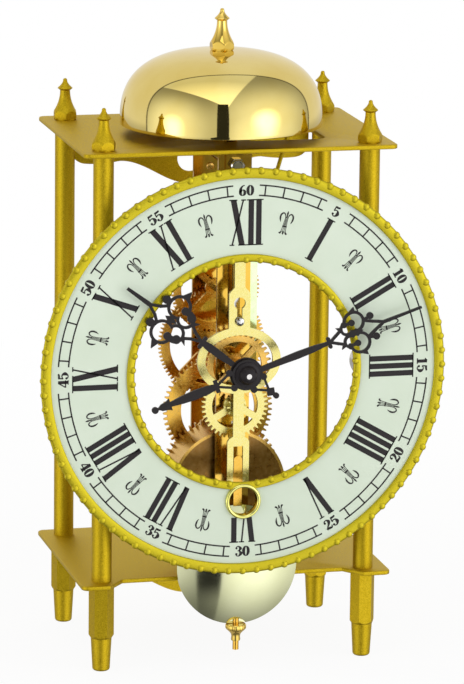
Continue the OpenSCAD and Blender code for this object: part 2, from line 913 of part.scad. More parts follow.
module minute_wheel() {
  bore = 1 + pivot_gap;
  color(pale_brass) at(0, minute_z) difference() {
    union() {
      along_y(minute_y, minute_y + wheel_t) crossed_wheel_2d(minute_teeth, minute_m, 90, 3, 2, 3.4, 2, bore, 0);
      along_y(hour_y, minute_y + 0.1) pinion_2d(minute_leaves, hour_m, 90);
      rod_y(minute_y, front_out - 0.2, 2);
    }
    rod_y(hour_y - 1, front_out, bore);
  }
}

module hour_wheel() {
  bore = cannon_pipe_r + 0.05;
  color(pale_brass) at(0, centre_z) difference() {
    union() {
      along_y(hour_y, hour_y + wheel_t) crossed_wheel_2d(hour_teeth, hour_m, -90, 4, 1.7, 3.6, 1.7, bore);
      rod_y(hour_hand_back - hand_t, hour_y + 0.1, hour_pipe_r);
    }
    rod_y(hour_hand_back - 2, hour_y + 3, bore);
  }
}

module thick_line(p, q, w) {
  d = (q - p) / norm(q - p);
  n = [-d[1], d[0]] * w / 2;
  polygon([p + n, p - n, q - n, q + n]);
}

module arc_band(c, r, w, a0, a1) {
  steps = 10;
  polygon(concat(
    [for (i = [0:steps]) let (a = a0 + (a1 - a0) * i / steps) c + (r + w / 2) * [cos(a), sin(a)]],
    [for (i = [steps:-1:0]) let (a = a0 + (a1 - a0) * i / steps) c + (r - w / 2) * [cos(a), sin(a)]]));
}

module both_sides() {
  children();
  mirror([1, 0]) children();
}

// Half-width and height pairs that make a bar symmetrical about the hand's axis
module blade(pairs) {
  last = len(pairs) - 1;
  polygon(concat(pairs, [for (i = [last:-1:0]) [-pairs[i][0], pairs[i][1]]]));
}

// A line of even width that bends at each inner point
module bent_line(points, w) {
  last = len(points) - 1;
  for (i = [1:last]) thick_line(points[i - 1], points[i], w);
  for (i = [1:last - 1]) translate(points[i]) circle(w * 0.55);
}

// Pierced head of a hand that points up: collar, lyre, a pair of looped rings with balls, arch and pointer
module hand_head_2d(collar, lyre, ring, ring_r, loop, loop_r, balls, horn, arch, pointer_w, tip_u) {
  band = 0.85;
  root = [0, collar[1] + 0.3];
  hip = lyre[1];
  spike = lyre[2];
  ball = [balls[0][0], balls[0][1]];
  crown = [0.05, arch[2][1] + 1.4];
  edge = ring[0] + ring_r - band / 2;
  union() {
    translate([-collar[0], collar[1] - 0.55]) square([2 * collar[0], 1.1]);
    both_sides() {
      translate(collar) circle(0.6);
      bent_line([root, lyre[0], hip], band);
      polygon([hip + [-0.4, -0.2], spike, hip + [0.8, 0.6]]);
      difference() {
        union() {
          translate(ring) circle(ring_r);
          translate(loop) circle(loop_r);
        }
        translate(ring) circle(ring_r - band);
        translate(loop) circle(loop_r - band);
      }
      for (b = balls) translate([b[0], b[1]]) circle(b[2]);
      thick_line(ball, arch[0], band);
      bent_line([arch[0], arch[1], arch[2], crown], band);
      polygon([[edge, ring[1] - 1.2], horn, [edge, ring[1] + 1.3]]);
    }
    polygon([[-1.2, ring[1]], [0, ring[1] - 2.2], [1.2, ring[1]], [0, ring[1] + 2]]);
    blade([[pointer_w * 0.3, crown[1] - 0.9], [pointer_w * 0.5, crown[1] + 0.3], [pointer_w * 0.34, tip_u]]);
  }
}

// Balls on the boss and the struts that carry the tail
module tail_root_2d(meet_u) {
  ball_r = 1;
  ball_v = 2.35;
  ball_u = -4.8;
  strut = 0.65;
  both_sides() {
    translate([ball_v, ball_u]) circle(ball_r);
    thick_line([ball_v, ball_u], [0.1, meet_u], strut);
  }
}

module minute_hand() {
  boss = 4.5;
  color(hand_black) at(0, centre_z) along_y(minute_hand_back - hand_t, minute_hand_back) difference() {
    rotate(-minute_angle) union() {
      circle(boss);
      blade([[0.8, 3.9], [0.95, 11], [1.1, 16], [0.97, 20.6], [0.58, 25], [0.5, 26.2]]);
      hand_head_2d([1.2, 26.1], [[1.2, 28.5], [2.1, 30.2], [3.4, 29.1]], [3.25, 34.9], 3.35, [2, 32.3], 2.15,
        [[3.27, 40.1, 1.05], [3.4, 31.85, 0.9], [3.2, 34.2, 0.95], [3.25, 33.1, 0.5]], [7.6, 36.2],
        [[2.65, 37.75], [1.42, 40.25], [0.7, 42]], 1, minute_reach);
      tail_root_2d(-9.6);
      translate([-1.95, -10.2]) square([3.9, 1.2]);
      blade([[0.72, -25], [0.72, -23.9], [1.15, -20.5], [1.4, -17], [1.28, -12.5], [0.75, -9.6]]);
      blade([[0.3, -28.5], [0.4, -27.7], [0.95, -27], [1.2, -25.6], [1.4, -24.9], [1.87, -24.1]]);
      translate([0, -29]) circle(1);
    }
    circle(hand_arbor_r);
  }
}

module hour_hand() {
  boss = 4.9;
  color(hand_black) at(0, centre_z) along_y(hour_hand_back - hand_t, hour_hand_back) difference() {
    rotate(-hour_angle) union() {
      circle(boss);
      blade([[0.75, 4.2], [1.15, 10], [1.15, 14], [0.85, 16.5]]);
      hand_head_2d([1.45, 16.5], [[1.1, 20], [2.3, 22], [3.9, 20.4]], [4.35, 28.5], 3.65, [2.6, 24.8], 2.85,
        [[4.05, 33.05, 1.25], [3.75, 23.5, 1.3], [4.45, 26.3, 1.2], [4.1, 24.9, 0.6]], [10.1, 28.2],
        [[2.9, 31.5], [1.4, 33.4], [0.7, 35]], 1.4, hour_reach);
      tail_root_2d(-8.6);
      blade([[0.1, -10.9], [1.55, -9.4], [0.1, -7.9]]);
      translate([0, -11.4]) circle(0.9);
    }
    circle(hour_pipe_r);
  }
}

module hand_nut() {
  back = minute_hand_back - hand_t;
  flange_r = 3.7;
  knob_r = 2.7;
  height = nut_front - (frame_y - back);
  color(hand_black) at(0, centre_z) translate([0, back, 0]) rotate([90, 0, 0]) difference() {
    lathe([[0, 0], [flange_r, 0], [flange_r, 0.35], [knob_r + 0.2, 0.5], [knob_r, 0.8],
      [knob_r - 0.1, height - 1.2], [knob_r - 0.6, height - 0.45], [knob_r - 1.4, height - 0.05], [0, height]]);
    translate([0, 0, -1]) cylinder(r = rear_arbor_r, h = height + 2);
  }
}

// Escapement
module pallet_arbor() {
  color(bright_steel) at(0, pallet_z) union() {
    rod_y(crutch_y - 0.6, rear_in - end_shake, arbor_r);
    rod_y(crutch_y, rear_out, pivot_r);
  }
}

module pallets() {
  lift_gap = 1;
  angle = 47;
  tip_r = escape_r + lift_gap;
  nose_w = 1;
  nose_h = 2.4;
  hub_r = 1.9;
  color(bright_steel) at(0, pallet_z) along_y(escape_y - 0.1, escape_y + wheel_t + 0.1) difference() {
    union() {
      circle(hub_r);
      for (s = [-1, 1]) {
        tip = [s * tip_r * sin(angle), tip_r * cos(angle) - pallet_reach];
        out = [s * sin(angle), cos(angle)];
        thick_line(tip, tip + out * nose_h, nose_w);
        thick_line([0, 0], tip + out * (nose_h - 0.6), 1.3);
      }
    }
    circle(arbor_r);
  }
}

module crutch() {
  hub_r = 2;
  arm_w = 2.2;
  arm_t = 1;
  drop = pallet_z - crutch_pin_z;
  head_r = 1.35;
  head_back = strip_front - 0.3;
  color(bright_steel) union() {
    difference() {
      union() {
        at(0, pallet_z) rod_y(crutch_y - 0.4, crutch_y + arm_t + 0.6, hub_r);
        along_y(crutch_y, crutch_y + arm_t) translate([-arm_w / 2, crutch_pin_z]) square([arm_w, drop]);
        at(0, crutch_pin_z) rod_y(crutch_y, crutch_y + arm_t, 1.7);
      }
      at(0, pallet_z) rod_y(crutch_y - 2, crutch_y + arm_t + 2, arbor_r);
    }
    at(0, crutch_pin_z) union() {
      rod_y(head_back - 0.1, crutch_y + 0.1, crutch_pin_r);
      translate([0, head_back, 0]) rotate([90, 0, 0])
        lathe([[0, 0], [head_r, 0], [head_r, 0.35], [head_r * 0.8, 0.75], [head_r * 0.4, 0.95], [0, 1]]);
    }
  }
}

// Pendulum
function oval(a, b) = [for (i = [0:47]) [a * cos(i * 7.5), b * sin(i * 7.5)]];

module pendulum_outline() {
  half = strip_w / 2;
  wide = 3.2;
  shoulder = 114;
  fork = fork_w / 2;
  key_r = 1.75;
  key_z = 110.5;
  slot_half = crutch_pin_r + pin_gap;
  difference() {
    union() {
      polygon([[-half, head_z + 1], [-half, shoulder + 1.2], [-wide + 0.5, shoulder], [-wide, shoulder - 0.8],
        [-wide, ring_z + ring_b - 3], [wide, ring_z + ring_b - 3], [wide, shoulder - 0.8],
        [wide - 0.5, shoulder], [half, shoulder + 1.2], [half, head_z + 1]]);
      translate([0, ring_z]) polygon(oval(ring_a, ring_b));
      polygon([[-half, ring_z - ring_b + 1], [-half, fork_top + 0.8], [-fork + 0.5, fork_top], [-fork, fork_top - 0.8],
        [-fork, fork_foot], [fork, fork_foot], [fork, fork_top - 0.8], [fork - 0.5, fork_top],
        [half, fork_top + 0.8], [half, ring_z - ring_b + 1]]);
    }
    translate([0, ring_z]) polygon(oval(ring_a - ring_band, ring_b - ring_band));
    translate([0, key_z]) circle(key_r);
    translate([-slot_half, crutch_pin_z - slot_half]) square([2 * slot_half, key_z - crutch_pin_z]);
    translate([-fork_slot / 2, fork_foot - 1]) square([fork_slot, fork_top - 2.2 - fork_foot + 1]);
  }
}

module pendulum_rod() {
  head_w = 5;
  head_h = 4.4;
  head_d = spring_w + 1;
  color(pale_brass) union() {
    along_y(strip_front, strip_back) pendulum_outline();
    difference() {
      translate([-head_w / 2, pendulum_y - head_d / 2, head_z]) cube([head_w, head_d, head_h]);
      translate([-spring_slit / 2, pendulum_y - head_d, head_z + 1]) cube([spring_slit, 2 * head_d, head_h]);
    }
  }
}

module bob_hanger() {
  brazed_top = 59.5;
  color(pale_brass) union() {
    along_y(strip_front, strip_back) union() {
      translate([0, hanger_top - tongue_w / 2]) circle(tongue_w / 2);
      translate([-tongue_w / 2, thread_top]) square([tongue_w, hanger_top - tongue_w / 2 - thread_top]);
      translate([-fork_slot / 2, fork_foot]) square([fork_slot, brazed_top - fork_foot]);
    }
    translate([0, pendulum_y, thread_end]) cylinder(r = thread_r, h = thread_top + 1 - thread_end);
  }
}

// Dished disc with a slot for the hanger and an arched notch over the rating nut
module bob() {
  r = bob_d / 2;
  rim = 0.4;
  front = bob_t * 0.64 - rim;
  rear = bob_t * 0.36 - rim;
  slack = 0.06;
  notch_r = 3.3;
  steps = 12;
  share = [for (i = [0:steps]) i / steps];
  face = [for (t = share) [r * t, rim + front * (1 - t * t)]];
  reverse = [for (i = [steps:-1:0]) [r * share[i], -rim - rear * (1 - share[i] * share[i])]];
  color(polished_brass) difference() {
    translate([0, pendulum_y, bob_z]) rotate([90, 0, 0]) lathe(concat(face, reverse));
    translate([-tongue_w / 2 - slack, strip_front - slack, 0]) cube([tongue_w + 2 * slack, strip_t + 2 * slack, 70]);
    translate([0, pendulum_y, 0]) cylinder(r = thread_r + slack, h = thread_top + bob_travel + 1.4);
    at(0, bob_z - r - 1.5) rod_y(pendulum_y - bob_t, pendulum_y + bob_t, notch_r);
  }
}

// Cup-topped nut on the hanger's thread
module rating_nut() {
  top = bob_z - bob_d / 2 - 0.1;
  height = 5.2;
  flange_r = 3.1;
  neck_r = 1.4;
  color(polished_brass) translate([0, pendulum_y, top - height]) difference() {
    lathe([[0, 0], [neck_r - 0.3, 0], [neck_r, 0.4], [neck_r - 0.1, 1.4], [neck_r + 0.25, 2.4], [neck_r + 0.9, 3.1],
      [flange_r - 0.3, 3.6], [flange_r, 4], [flange_r, height - 0.3], [flange_r - 0.3, height], [0, height]]);
    translate([0, 0, -1]) cylinder(r = thread_r + 0.05, h = height + 2);
  }
}

// Hammer
module hammer_arbor() {
  color(bright_steel) at(hammer_x, hammer_z) arbor_between(1);
}

// Places a child at the hammer arbor with its Z along the leaning rod
module on_hammer_line() {
  translate([hammer_x, hammer_y, hammer_z]) rotate([0, hammer_lean, 0]) children();
}

module hammer_rod() {
  collar_r = 2;
  rod_r = 0.6;
  color(bright_steel) difference() {
    union() {
      at(hammer_x, hammer_z) rod_y(hammer_y - 1.5, hammer_y + 1.5, collar_r);
      on_hammer_line() translate([0, 0, 1.2]) cylinder(r = rod_r, h = hammer_length - 1.2);
    }
    at(hammer_x, hammer_z) rod_y(hammer_y - 3, hammer_y + 3, 1);
  }
}

module hammer_head() {
  head_r = 2.5;
  head_l = 6.4;
  color(warm_brass) on_hammer_line() translate([-head_l / 2, 0, hammer_length - 1]) rotate([0, 90, 0]) difference() {
    lathe([[0, 0], [head_r - 0.5, 0], [head_r, 0.5], [head_r, head_l - 0.7], [head_r - 0.7, head_l], [0, head_l]]);
    translate([-1, 0, head_l / 2]) rotate([0, 90, 0]) cylinder(r = 0.6, h = head_r + 2);
  }
}

module strike_lever() {
  foot_z = centre_z - 0.6;
  bend_z = 123;
  color(polished_brass) along_y(cam_y, cam_y + lever_t) difference() {
    union() {
      translate([hammer_x, hammer_z]) circle(2.4);
      thick_line([hammer_x, hammer_z], [lever_x + lever_w / 2, bend_z], 2.4);
      translate([lever_x, foot_z]) square([lever_w, bend_z + 1 - foot_z]);
    }
    translate([hammer_x, hammer_z]) circle(1);
  }
}

top_plate();
bottom_plate();
pillar_front_left();
pillar_front_right();
pillar_rear_left();
pillar_rear_right();
finials();
feet();
upper_crest();
lower_crest();
front_plate();
rear_plate();
movement_pillars();
nuts();
case_screws();
dial_ring();
outer_bezel();
inner_bezel();
key_grommet();
dial_spacers();
bell_stud();
bell();
bell_finial();
suspension_cock();
suspension_spring();
click_spring();
barrel_drum();
barrel_cover();
great_wheel();
mainspring();
winding_arbor();
ratchet_wheel();
click();
intermediate_arbor();
intermediate_wheel();
centre_pinion();
centre_wheel();
third_arbor();
third_wheel();
escape_arbor();
escape_wheel();
hand_arbor();
strike_cam();
cannon_pinion();
minute_hand();
hand_nut();
minute_wheel();
hour_wheel();
hour_hand();
pallet_arbor();
pallets();
crutch();
pendulum_rod();
bob_hanger();
bob();
rating_nut();
hammer_arbor();
hammer_rod();
hammer_head();
strike_lever();
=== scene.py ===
import json
import math

import bmesh
import bpy
from mathutils import Matrix, Vector
from mathutils.geometry import tessellate_polygon


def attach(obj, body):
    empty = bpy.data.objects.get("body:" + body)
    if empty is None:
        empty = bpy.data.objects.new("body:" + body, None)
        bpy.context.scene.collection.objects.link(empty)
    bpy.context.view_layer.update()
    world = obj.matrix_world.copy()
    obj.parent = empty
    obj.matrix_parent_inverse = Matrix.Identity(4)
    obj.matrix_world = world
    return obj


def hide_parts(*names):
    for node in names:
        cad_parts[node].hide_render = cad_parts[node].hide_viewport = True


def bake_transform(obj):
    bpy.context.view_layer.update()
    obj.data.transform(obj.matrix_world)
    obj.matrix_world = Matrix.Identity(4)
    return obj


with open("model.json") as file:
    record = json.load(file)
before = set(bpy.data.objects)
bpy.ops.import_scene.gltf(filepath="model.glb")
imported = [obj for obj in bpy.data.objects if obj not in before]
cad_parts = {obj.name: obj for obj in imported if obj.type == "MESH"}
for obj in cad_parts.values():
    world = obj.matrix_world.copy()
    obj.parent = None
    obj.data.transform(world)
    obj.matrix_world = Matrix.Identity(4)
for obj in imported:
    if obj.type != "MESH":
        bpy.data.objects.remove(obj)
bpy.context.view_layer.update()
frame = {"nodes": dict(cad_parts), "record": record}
nodes = frame["nodes"]

# Sizes are in millimetres in the part's own frame: X right, Y back from the dial, Z up from the table.
MM = 0.001
# Case: the middle of the pillar square, its half spans, the two plates, and the hexagons of feet and finials.
FRAME_Y = 5.425
PILLAR_X, PILLAR_Y = 40.0, 27.25
ROOF_Z, DECK_Z, PLATE_T = 156.4, 27.4, 1.3
PLATE_W, PLATE_D, PLATE_CORNER, PLATE_EDGE = 94.0, 67.5, 2.0, 0.3
HEX_R = 3.75
HEX_FLAT = HEX_R * math.cos(math.pi / 6)
FINIAL_H = 12.4
# How far each hexagon is turned, in degrees: front left, front right, back left, back right.
FINIAL_TURNS, FOOT_TURNS = (10, 0, 24, 40), (-14, 2, -14, 22)
# Dial: the enamel ring, the beaded rims that lap its edges, and the winding hole.
DIAL_Z, DIAL_R, OPENING_R = 91.2, 61.0, 32.65
DIAL_FRONT, DIAL_BACK = FRAME_Y - 38.2, FRAME_Y - 37.2
OUTER_BAND, INNER_BAND, RIM_LAP = 3.3, 2.6, 0.9
BEZEL_FRONT = DIAL_FRONT - 0.8
OUTER_BEADS, INNER_BEADS = 88, 50
OUTER_BEAD, INNER_BEAD, BEAD_RISE, BEAD_SUNK, BEAD_BULGE = 1.08, 1.0, 0.46, 0.13, 0.32
KEY_Z, KEY_R, KEY_FLANGE, KEY_WALL = 52.425, 4.2, 1.1, 0.5
# Bell: a spun dome whose outline is a rounded square of this power.
BELL_Y, BELL_RIM_Z = FRAME_Y - 6.5, 159.6
BELL_R, BELL_H, BELL_WALL, BELL_POWER, BELL_HOLE = 30.0, 21.9, 1.0, 2.7, 1.3
# Pendulum: its plane, the bob, the hanger that runs in the bob's slot, and the point it swings about.
PENDULUM_Y, SWING_Z = FRAME_Y - 31.5, 136.4
BOB_R, BOB_FRONT, BOB_REAR, BOB_Z = 18.2, 4.992, 2.808, 31.4
HANGER_W, HANGER_T = 2.5, 1.0
# Movement: its front plate, the nut over the dial and the stud beside that.
MOVEMENT_FRONT, NUT_FRONT, NUT_Z = FRAME_Y - 24.4, FRAME_Y - 27.4, 150.5
STUD_X, STUD_Z = -7.5, 150.25


# ---------------------------------------------------------------- materials

def linear(code):
    """Turns an sRGB hex colour into the linear one that shaders take."""
    parts = [int(code[i:i + 2], 16) / 255 for i in (1, 3, 5)]
    return tuple(p / 12.92 if p <= 0.04045 else ((p + 0.055) / 1.055) ** 2.4 for p in parts) + (1.0,)


def add(tree, kind, links=None, **settings):
    """Adds one node; links maps its sockets to values, other nodes' outputs, or nodes whose first output is meant."""
    node = tree.nodes.new(kind)
    for key, value in settings.items():
        setattr(node, key, value)
    for key, value in (links or {}).items():
        if isinstance(value, bpy.types.Node):
            value = value.outputs[0]
        if isinstance(value, bpy.types.NodeSocket):
            tree.links.new(value, node.inputs[key])
        else:
            node.inputs[key].default_value = value
    return node


# The sockets of a colour mix, the noise's middle range that is spread over a finish, and the depth of its relief.
MIX_A, MIX_B, MIX_OUT = 6, 7, 2
GRAIN_LOW, GRAIN_HIGH, RELIEF = 0.3, 0.7, 0.1


def finish(name, dark, light, grain_mm, rough, rough_spread, bump=0.0, metal=1.0, stretch=(1, 1, 1), **sockets):
    """A surface of two close colours over a fine grain, with its roughness and bump from the same grain."""
    made = bpy.data.materials.new(name)
    made.use_nodes = True
    tree = made.node_tree
    shader = tree.nodes["Principled BSDF"]
    shader.inputs["Metallic"].default_value = metal
    for key, value in sockets.items():
        shader.inputs[key.replace("_", " ")].default_value = value
    place = add(tree, "ShaderNodeTexCoord")
    spread = add(tree, "ShaderNodeMapping", {"Vector": place.outputs["Object"], "Scale": stretch})
    grain = add(tree, "ShaderNodeTexNoise", {"Vector": spread, "Scale": 1 / (grain_mm * MM), "Detail": 3.0})
    middle = {"Value": grain.outputs["Fac"], "From Min": GRAIN_LOW, "From Max": GRAIN_HIGH}
    sharp = add(tree, "ShaderNodeMapRange", middle)
    tint = add(tree, "ShaderNodeMix", {0: sharp, MIX_A: linear(dark), MIX_B: linear(light)}, data_type="RGBA")
    tree.links.new(tint.outputs[MIX_OUT], shader.inputs["Base Color"])
    gloss = add(tree, "ShaderNodeMapRange", {**middle, "To Min": rough - rough_spread, "To Max": rough + rough_spread})
    tree.links.new(gloss.outputs["Result"], shader.inputs["Roughness"])
    if bump:
        relief = add(tree, "ShaderNodeBump", {"Height": middle["Value"], "Strength": bump, "Distance": RELIEF * MM})
        tree.links.new(relief.outputs["Normal"], shader.inputs["Normal"])
    return made


# Sprayed metallic gold paint: a satin greenish gold with a sparkle of fine flakes, drawn coarse enough to show.
gold_paint = finish("sprayed_gold_paint", "#AC8E0A", "#DCC02E", 0.28, 0.5, 0.12, 0.4)
# The same paint on the pressed dial rims, laid on smoother. Its colours are made lighter as painted light, for rims
# that face the front and catch more of it.
brightened_rim_paint = finish("gold_paint_brightened_for_lit_rims", "#BCAC20", "#D2C234", 0.28, 0.48, 0.1, 0.25)
# Polished and lacquered brass: a clear mirror with a pale gold cast and faint buffing haze.
polished_brass = finish("polished_lacquered_brass", "#E4CD78", "#ECD98C", 14.0, 0.05, 0.015)
# Gilt brass of the bell's spire and the rating nut: as bright, with a deeper orange cast.
gilt_brass = finish("polished_gilt_brass", "#E0BE58", "#EACC6C", 6.0, 0.06, 0.02)
# Satin polished brass of the bob: paler, and buffed less, so its reflections are softer.
bob_brass = finish("satin_polished_brass", "#D9DBAC", "#E0E2B8", 9.0, 0.11, 0.02)
# Sheet brass of the movement: polished under amber lacquer, with a soft drift of tone up the sheet.
movement_brass = finish("lacquered_sheet_brass", "#D8AC42", "#E2BC58", 6.0, 0.12, 0.04, stretch=(2, 2, 0.4))
# Blanked brass wheels: as warm as the plates, with a finer satin from tumbling.
wheel_brass = finish("tumbled_wheel_brass", "#D8A840", "#E4B858", 0.7, 0.22, 0.06, 0.05)
# Brushed brass of the drum, the great wheel and the hour wheel: lighter gold, lined along the brushing.
brushed_brass = finish("brushed_light_brass", "#DCAC50", "#EAC26C", 0.8, 0.3, 0.06, 0.06, stretch=(1.5, 0.2, 1.5))
# Pale satin brass of the pendulum and motion work, close to straw.
pale_brass = finish("pale_satin_brass", "#D8CB78", "#E4DA92", 0.6, 0.27, 0.06, 0.05)
# Rolled brass of the winding eyelet: bright, with a lemon cast.
eyelet_brass = finish("rolled_lemon_brass", "#DAD574", "#E6E28A", 3.0, 0.12, 0.03)
# Brass of the strike lever, coloured a bright, nearly white green: a painted highlight that stands in for the white
# tent mirrored in it.
highlight_painted_brass = finish("brass_with_painted_white_highlight", "#CFE6AE", "#DDF0C2", 2.0, 0.15, 0.04)
# Turned barrel lid: brown lacquered brass with fine rings from the lathe.
lid_brass = finish("turned_brown_brass", "#946C34", "#AE8850", 1.2, 0.32, 0.06, 0.05, Anisotropic=0.7)
# Bright turned steel of arbors, nuts and pins: a grey mirror, a little blurred by the lathe.
bright_steel = finish("bright_turned_steel", "#C6C4C1", "#DAD8D5", 0.5, 0.14, 0.04, 0.03)
# Hardened spring steel: darker and bluer, with a drawn grain.
spring_steel = finish("drawn_spring_steel", "#7C7E86", "#979AA2", 0.4, 0.3, 0.06, 0.05)
# Fired white enamel with a cool green cast and a soft gloss.
dial_enamel = finish("fired_white_enamel", "#D6E3CF", "#DBE7D5", 9.0, 0.34, 0.03, metal=0.0)
# Screen-printed black ink, matt beside the enamel.
dial_ink = finish("screen_printed_ink", "#1E191B", "#282325", 0.4, 0.5, 0.06, metal=0.0, Specular_IOR_Level=0.3)
# Satin black lacquer on the pressed steel hands: soft, wide highlights.
hand_lacquer = finish("satin_black_lacquer", "#191517", "#231E20", 0.5, 0.4, 0.07, 0.04, metal=0.0,
                      Specular_IOR_Level=0.25)

slot_finish = {"gold_paint": gold_paint, "polished_brass": polished_brass, "brass": movement_brass,
               "pale_brass": pale_brass, "steel": bright_steel, "spring_steel": spring_steel,
               "dial_enamel": dial_enamel, "hand_black": hand_lacquer}
# The nodes whose finish isn't their slot's own.
node_finish = {"outer_bezel": brightened_rim_paint, "inner_bezel": brightened_rim_paint, "barrel_cover": lid_brass,
               "great_wheel": brushed_brass, "barrel_drum": brushed_brass, "hour_wheel": brushed_brass,
               "intermediate_wheel": wheel_brass, "centre_wheel": wheel_brass, "third_wheel": wheel_brass,
               "escape_wheel": wheel_brass, "strike_cam": wheel_brass, "hammer_head": wheel_brass,
               "bob_hanger": wheel_brass, "strike_lever": highlight_painted_brass, "hammer_rod": gold_paint}
for part in frame["record"]["subparts"]:
    shown = nodes[part["node"]]
    shown.data.materials.clear()
    shown.data.materials.append(node_finish.get(part["node"], slot_finish[part["material_slot"]]))


# ---------------------------------------------------------------- shapes

def skin(rings):
    """Faces between successive rings of points; a ring of one point closes an end."""
    points, faces, starts = [], [], []
    for ring in rings:
        starts.append(len(points))
        points.extend(ring)
    for low, high, a, b in zip(rings, rings[1:], starts, starts[1:]):
        count = max(len(low), len(high))
        for i in range(count):
            j = (i + 1) % count
            if len(low) == 1:
                faces.append((a, b + j, b + i))
            elif len(high) == 1:
                faces.append((a + i, a + j, b))
            else:
                faces.append((a + i, a + j, b + j, b + i))
    return points, faces


def turned(profile, sides, flat=None, spin=0.0):
    """A shape turned round Z from (radius, height) pairs; flat cuts it to a hexagon of that half width."""
    rings = []
    for radius, height in profile:
        if radius == 0:
            rings.append([(0, 0, height)])
            continue
        ring = []
        for i in range(sides):
            a = 2 * math.pi * i / sides + spin
            r = radius
            if flat:
                sector = (a - spin + math.pi / 6) % (math.pi / 3) - math.pi / 6
                r = min(radius, flat / math.cos(sector))
            ring.append((r * math.cos(a), r * math.sin(a), height))
        rings.append(ring)
    return skin(rings)


def joined(shapes):
    """Several shapes as one."""
    points, faces = [], []
    for some, sides in shapes:
        base = len(points)
        points.extend(some)
        faces.extend(tuple(base + i for i in side) for side in sides)
    return points, faces


def placed(shape, x=0.0, y=0.0, z=0.0, facing_front=False):
    """Moves a shape; facing_front first turns its Z towards the front."""
    points, faces = shape
    if facing_front:
        points = [(p[0], -p[2], p[1]) for p in points]
    return [(p[0] + x, p[1] + y, p[2] + z) for p in points], faces


def skin_capped(rings):
    """Faces between successive rings, with a face on the first and the last one."""
    points, faces = skin(rings)
    count = len(rings[0])
    faces.append(tuple(range(count))[::-1])
    faces.append(tuple(range(len(points) - count, len(points))))
    return points, faces


def prism(outline, back, front):
    """A flat closed shape on the dial's plane from an outline of (x, z) points."""
    return skin_capped([[(x, y, z) for x, z in outline] for y in (back, front)])


def piece(name, shape, surface, body, stands_for=(), crease=35.0):
    """A finished mesh piece in the scene, smooth up to the crease angle, that rides on a body."""
    points, faces = shape
    mesh = bpy.data.meshes.new(name)
    mesh.from_pydata([Vector(p) * MM for p in points], [], faces)
    work = bmesh.new()
    work.from_mesh(mesh)
    bmesh.ops.recalc_face_normals(work, faces=work.faces)
    work.to_mesh(mesh)
    work.free()
    mesh.polygons.foreach_set("use_smooth", [True] * len(mesh.polygons))
    mesh.set_sharp_from_angle(angle=math.radians(crease))
    mesh.materials.append(surface)
    obj = bpy.data.objects.new(name, mesh)
    bpy.context.scene.collection.objects.link(obj)
    if body:
        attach(obj, body)
    if stands_for:
        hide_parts(*stands_for)
    return obj


def carve(obj, shape):
    """Cuts a closed shape out of a piece."""
    points, faces = shape
    tool = bpy.data.meshes.new("cutter")
    tool.from_pydata([Vector(p) * MM for p in points], [], faces)
    cutter = bpy.data.objects.new("cutter", tool)
    bpy.context.scene.collection.objects.link(cutter)
    cut = obj.modifiers.new("cut", "BOOLEAN")
    cut.object = cutter
    cut.operation = "DIFFERENCE"
    cut.solver = "EXACT"
    bpy.context.view_layer.update()
    mesh = bpy.data.meshes.new_from_object(obj.evaluated_get(bpy.context.evaluated_depsgraph_get()))
    obj.modifiers.clear()
    obj.data = mesh
    bpy.data.objects.remove(cutter)


def steps(count):
    """Even steps from 0 to 1, both included."""
    return [i / count for i in range(count + 1)]


def box_shape(x0, x1, y0, y1, z0, z1):
    return skin_capped([[(x0, y0, z), (x1, y0, z), (x1, y1, z), (x0, y1, z)] for z in (z0, z1)])


def rod_shape(radius, low, high, sides=48):
    return turned([(0, low), (radius, low), (radius, high), (0, high)], sides)


# ---------------------------------------------------------------- case

def finial_profile():
    """A spire: chamfered foot, hollow flare to a thin neck, a sharp collar and a drawn-out nipple."""
    neck, rim, nipple, flare_z, wide = 1.5, 2.25, 0.62, 1.5, HEX_R + 0.3
    neck_z, rim_z = FINIAL_H - 3.6, FINIAL_H - 3.0
    profile = [(0, 0), (wide - 0.75, 0), (wide - 0.4, 0.3), (wide, 0.75)]
    profile += [(neck + (wide - neck) * (1 - s) ** 2.1, flare_z + s * (neck_z - flare_z)) for s in steps(28)]
    profile += [(rim - 0.12, rim_z - 0.1), (rim, rim_z), (rim - 0.1, rim_z + 0.14)]
    profile += [(nipple + (rim - nipple) * (1 - s) ** 1.7, rim_z + 0.1 + s * 2.2) for s in steps(12)[1:]]
    profile += [(nipple * math.cos(s * 1.5), FINIAL_H - 0.55 + 0.55 * math.sin(s * 1.5708)) for s in steps(5)[1:-1]]
    return profile + [(0, FINIAL_H)]


def corners():
    """Where the four pillars stand."""
    return [(x, FRAME_Y + y) for y in (-PILLAR_Y, PILLAR_Y) for x in (-PILLAR_X, PILLAR_X)]


def make_finials():
    """A spire over each pillar, and the bell's own."""
    spins = [math.radians(a) + math.pi / 6 for a in FINIAL_TURNS]
    shapes = [placed(turned(finial_profile(), 72, HEX_FLAT, spin), x, y, ROOF_Z)
              for spin, (x, y) in zip(spins, corners())]
    piece("corner_finials", joined(shapes), gold_paint, "case", ["finials"], 28)
    crown = BELL_RIM_Z + BELL_H
    spire = placed(turned(finial_profile(), 72, HEX_FLAT, math.radians(60)), 0, BELL_Y, crown)
    piece("bell_spire", spire, gilt_brass, "case", ["bell_finial"], 28)


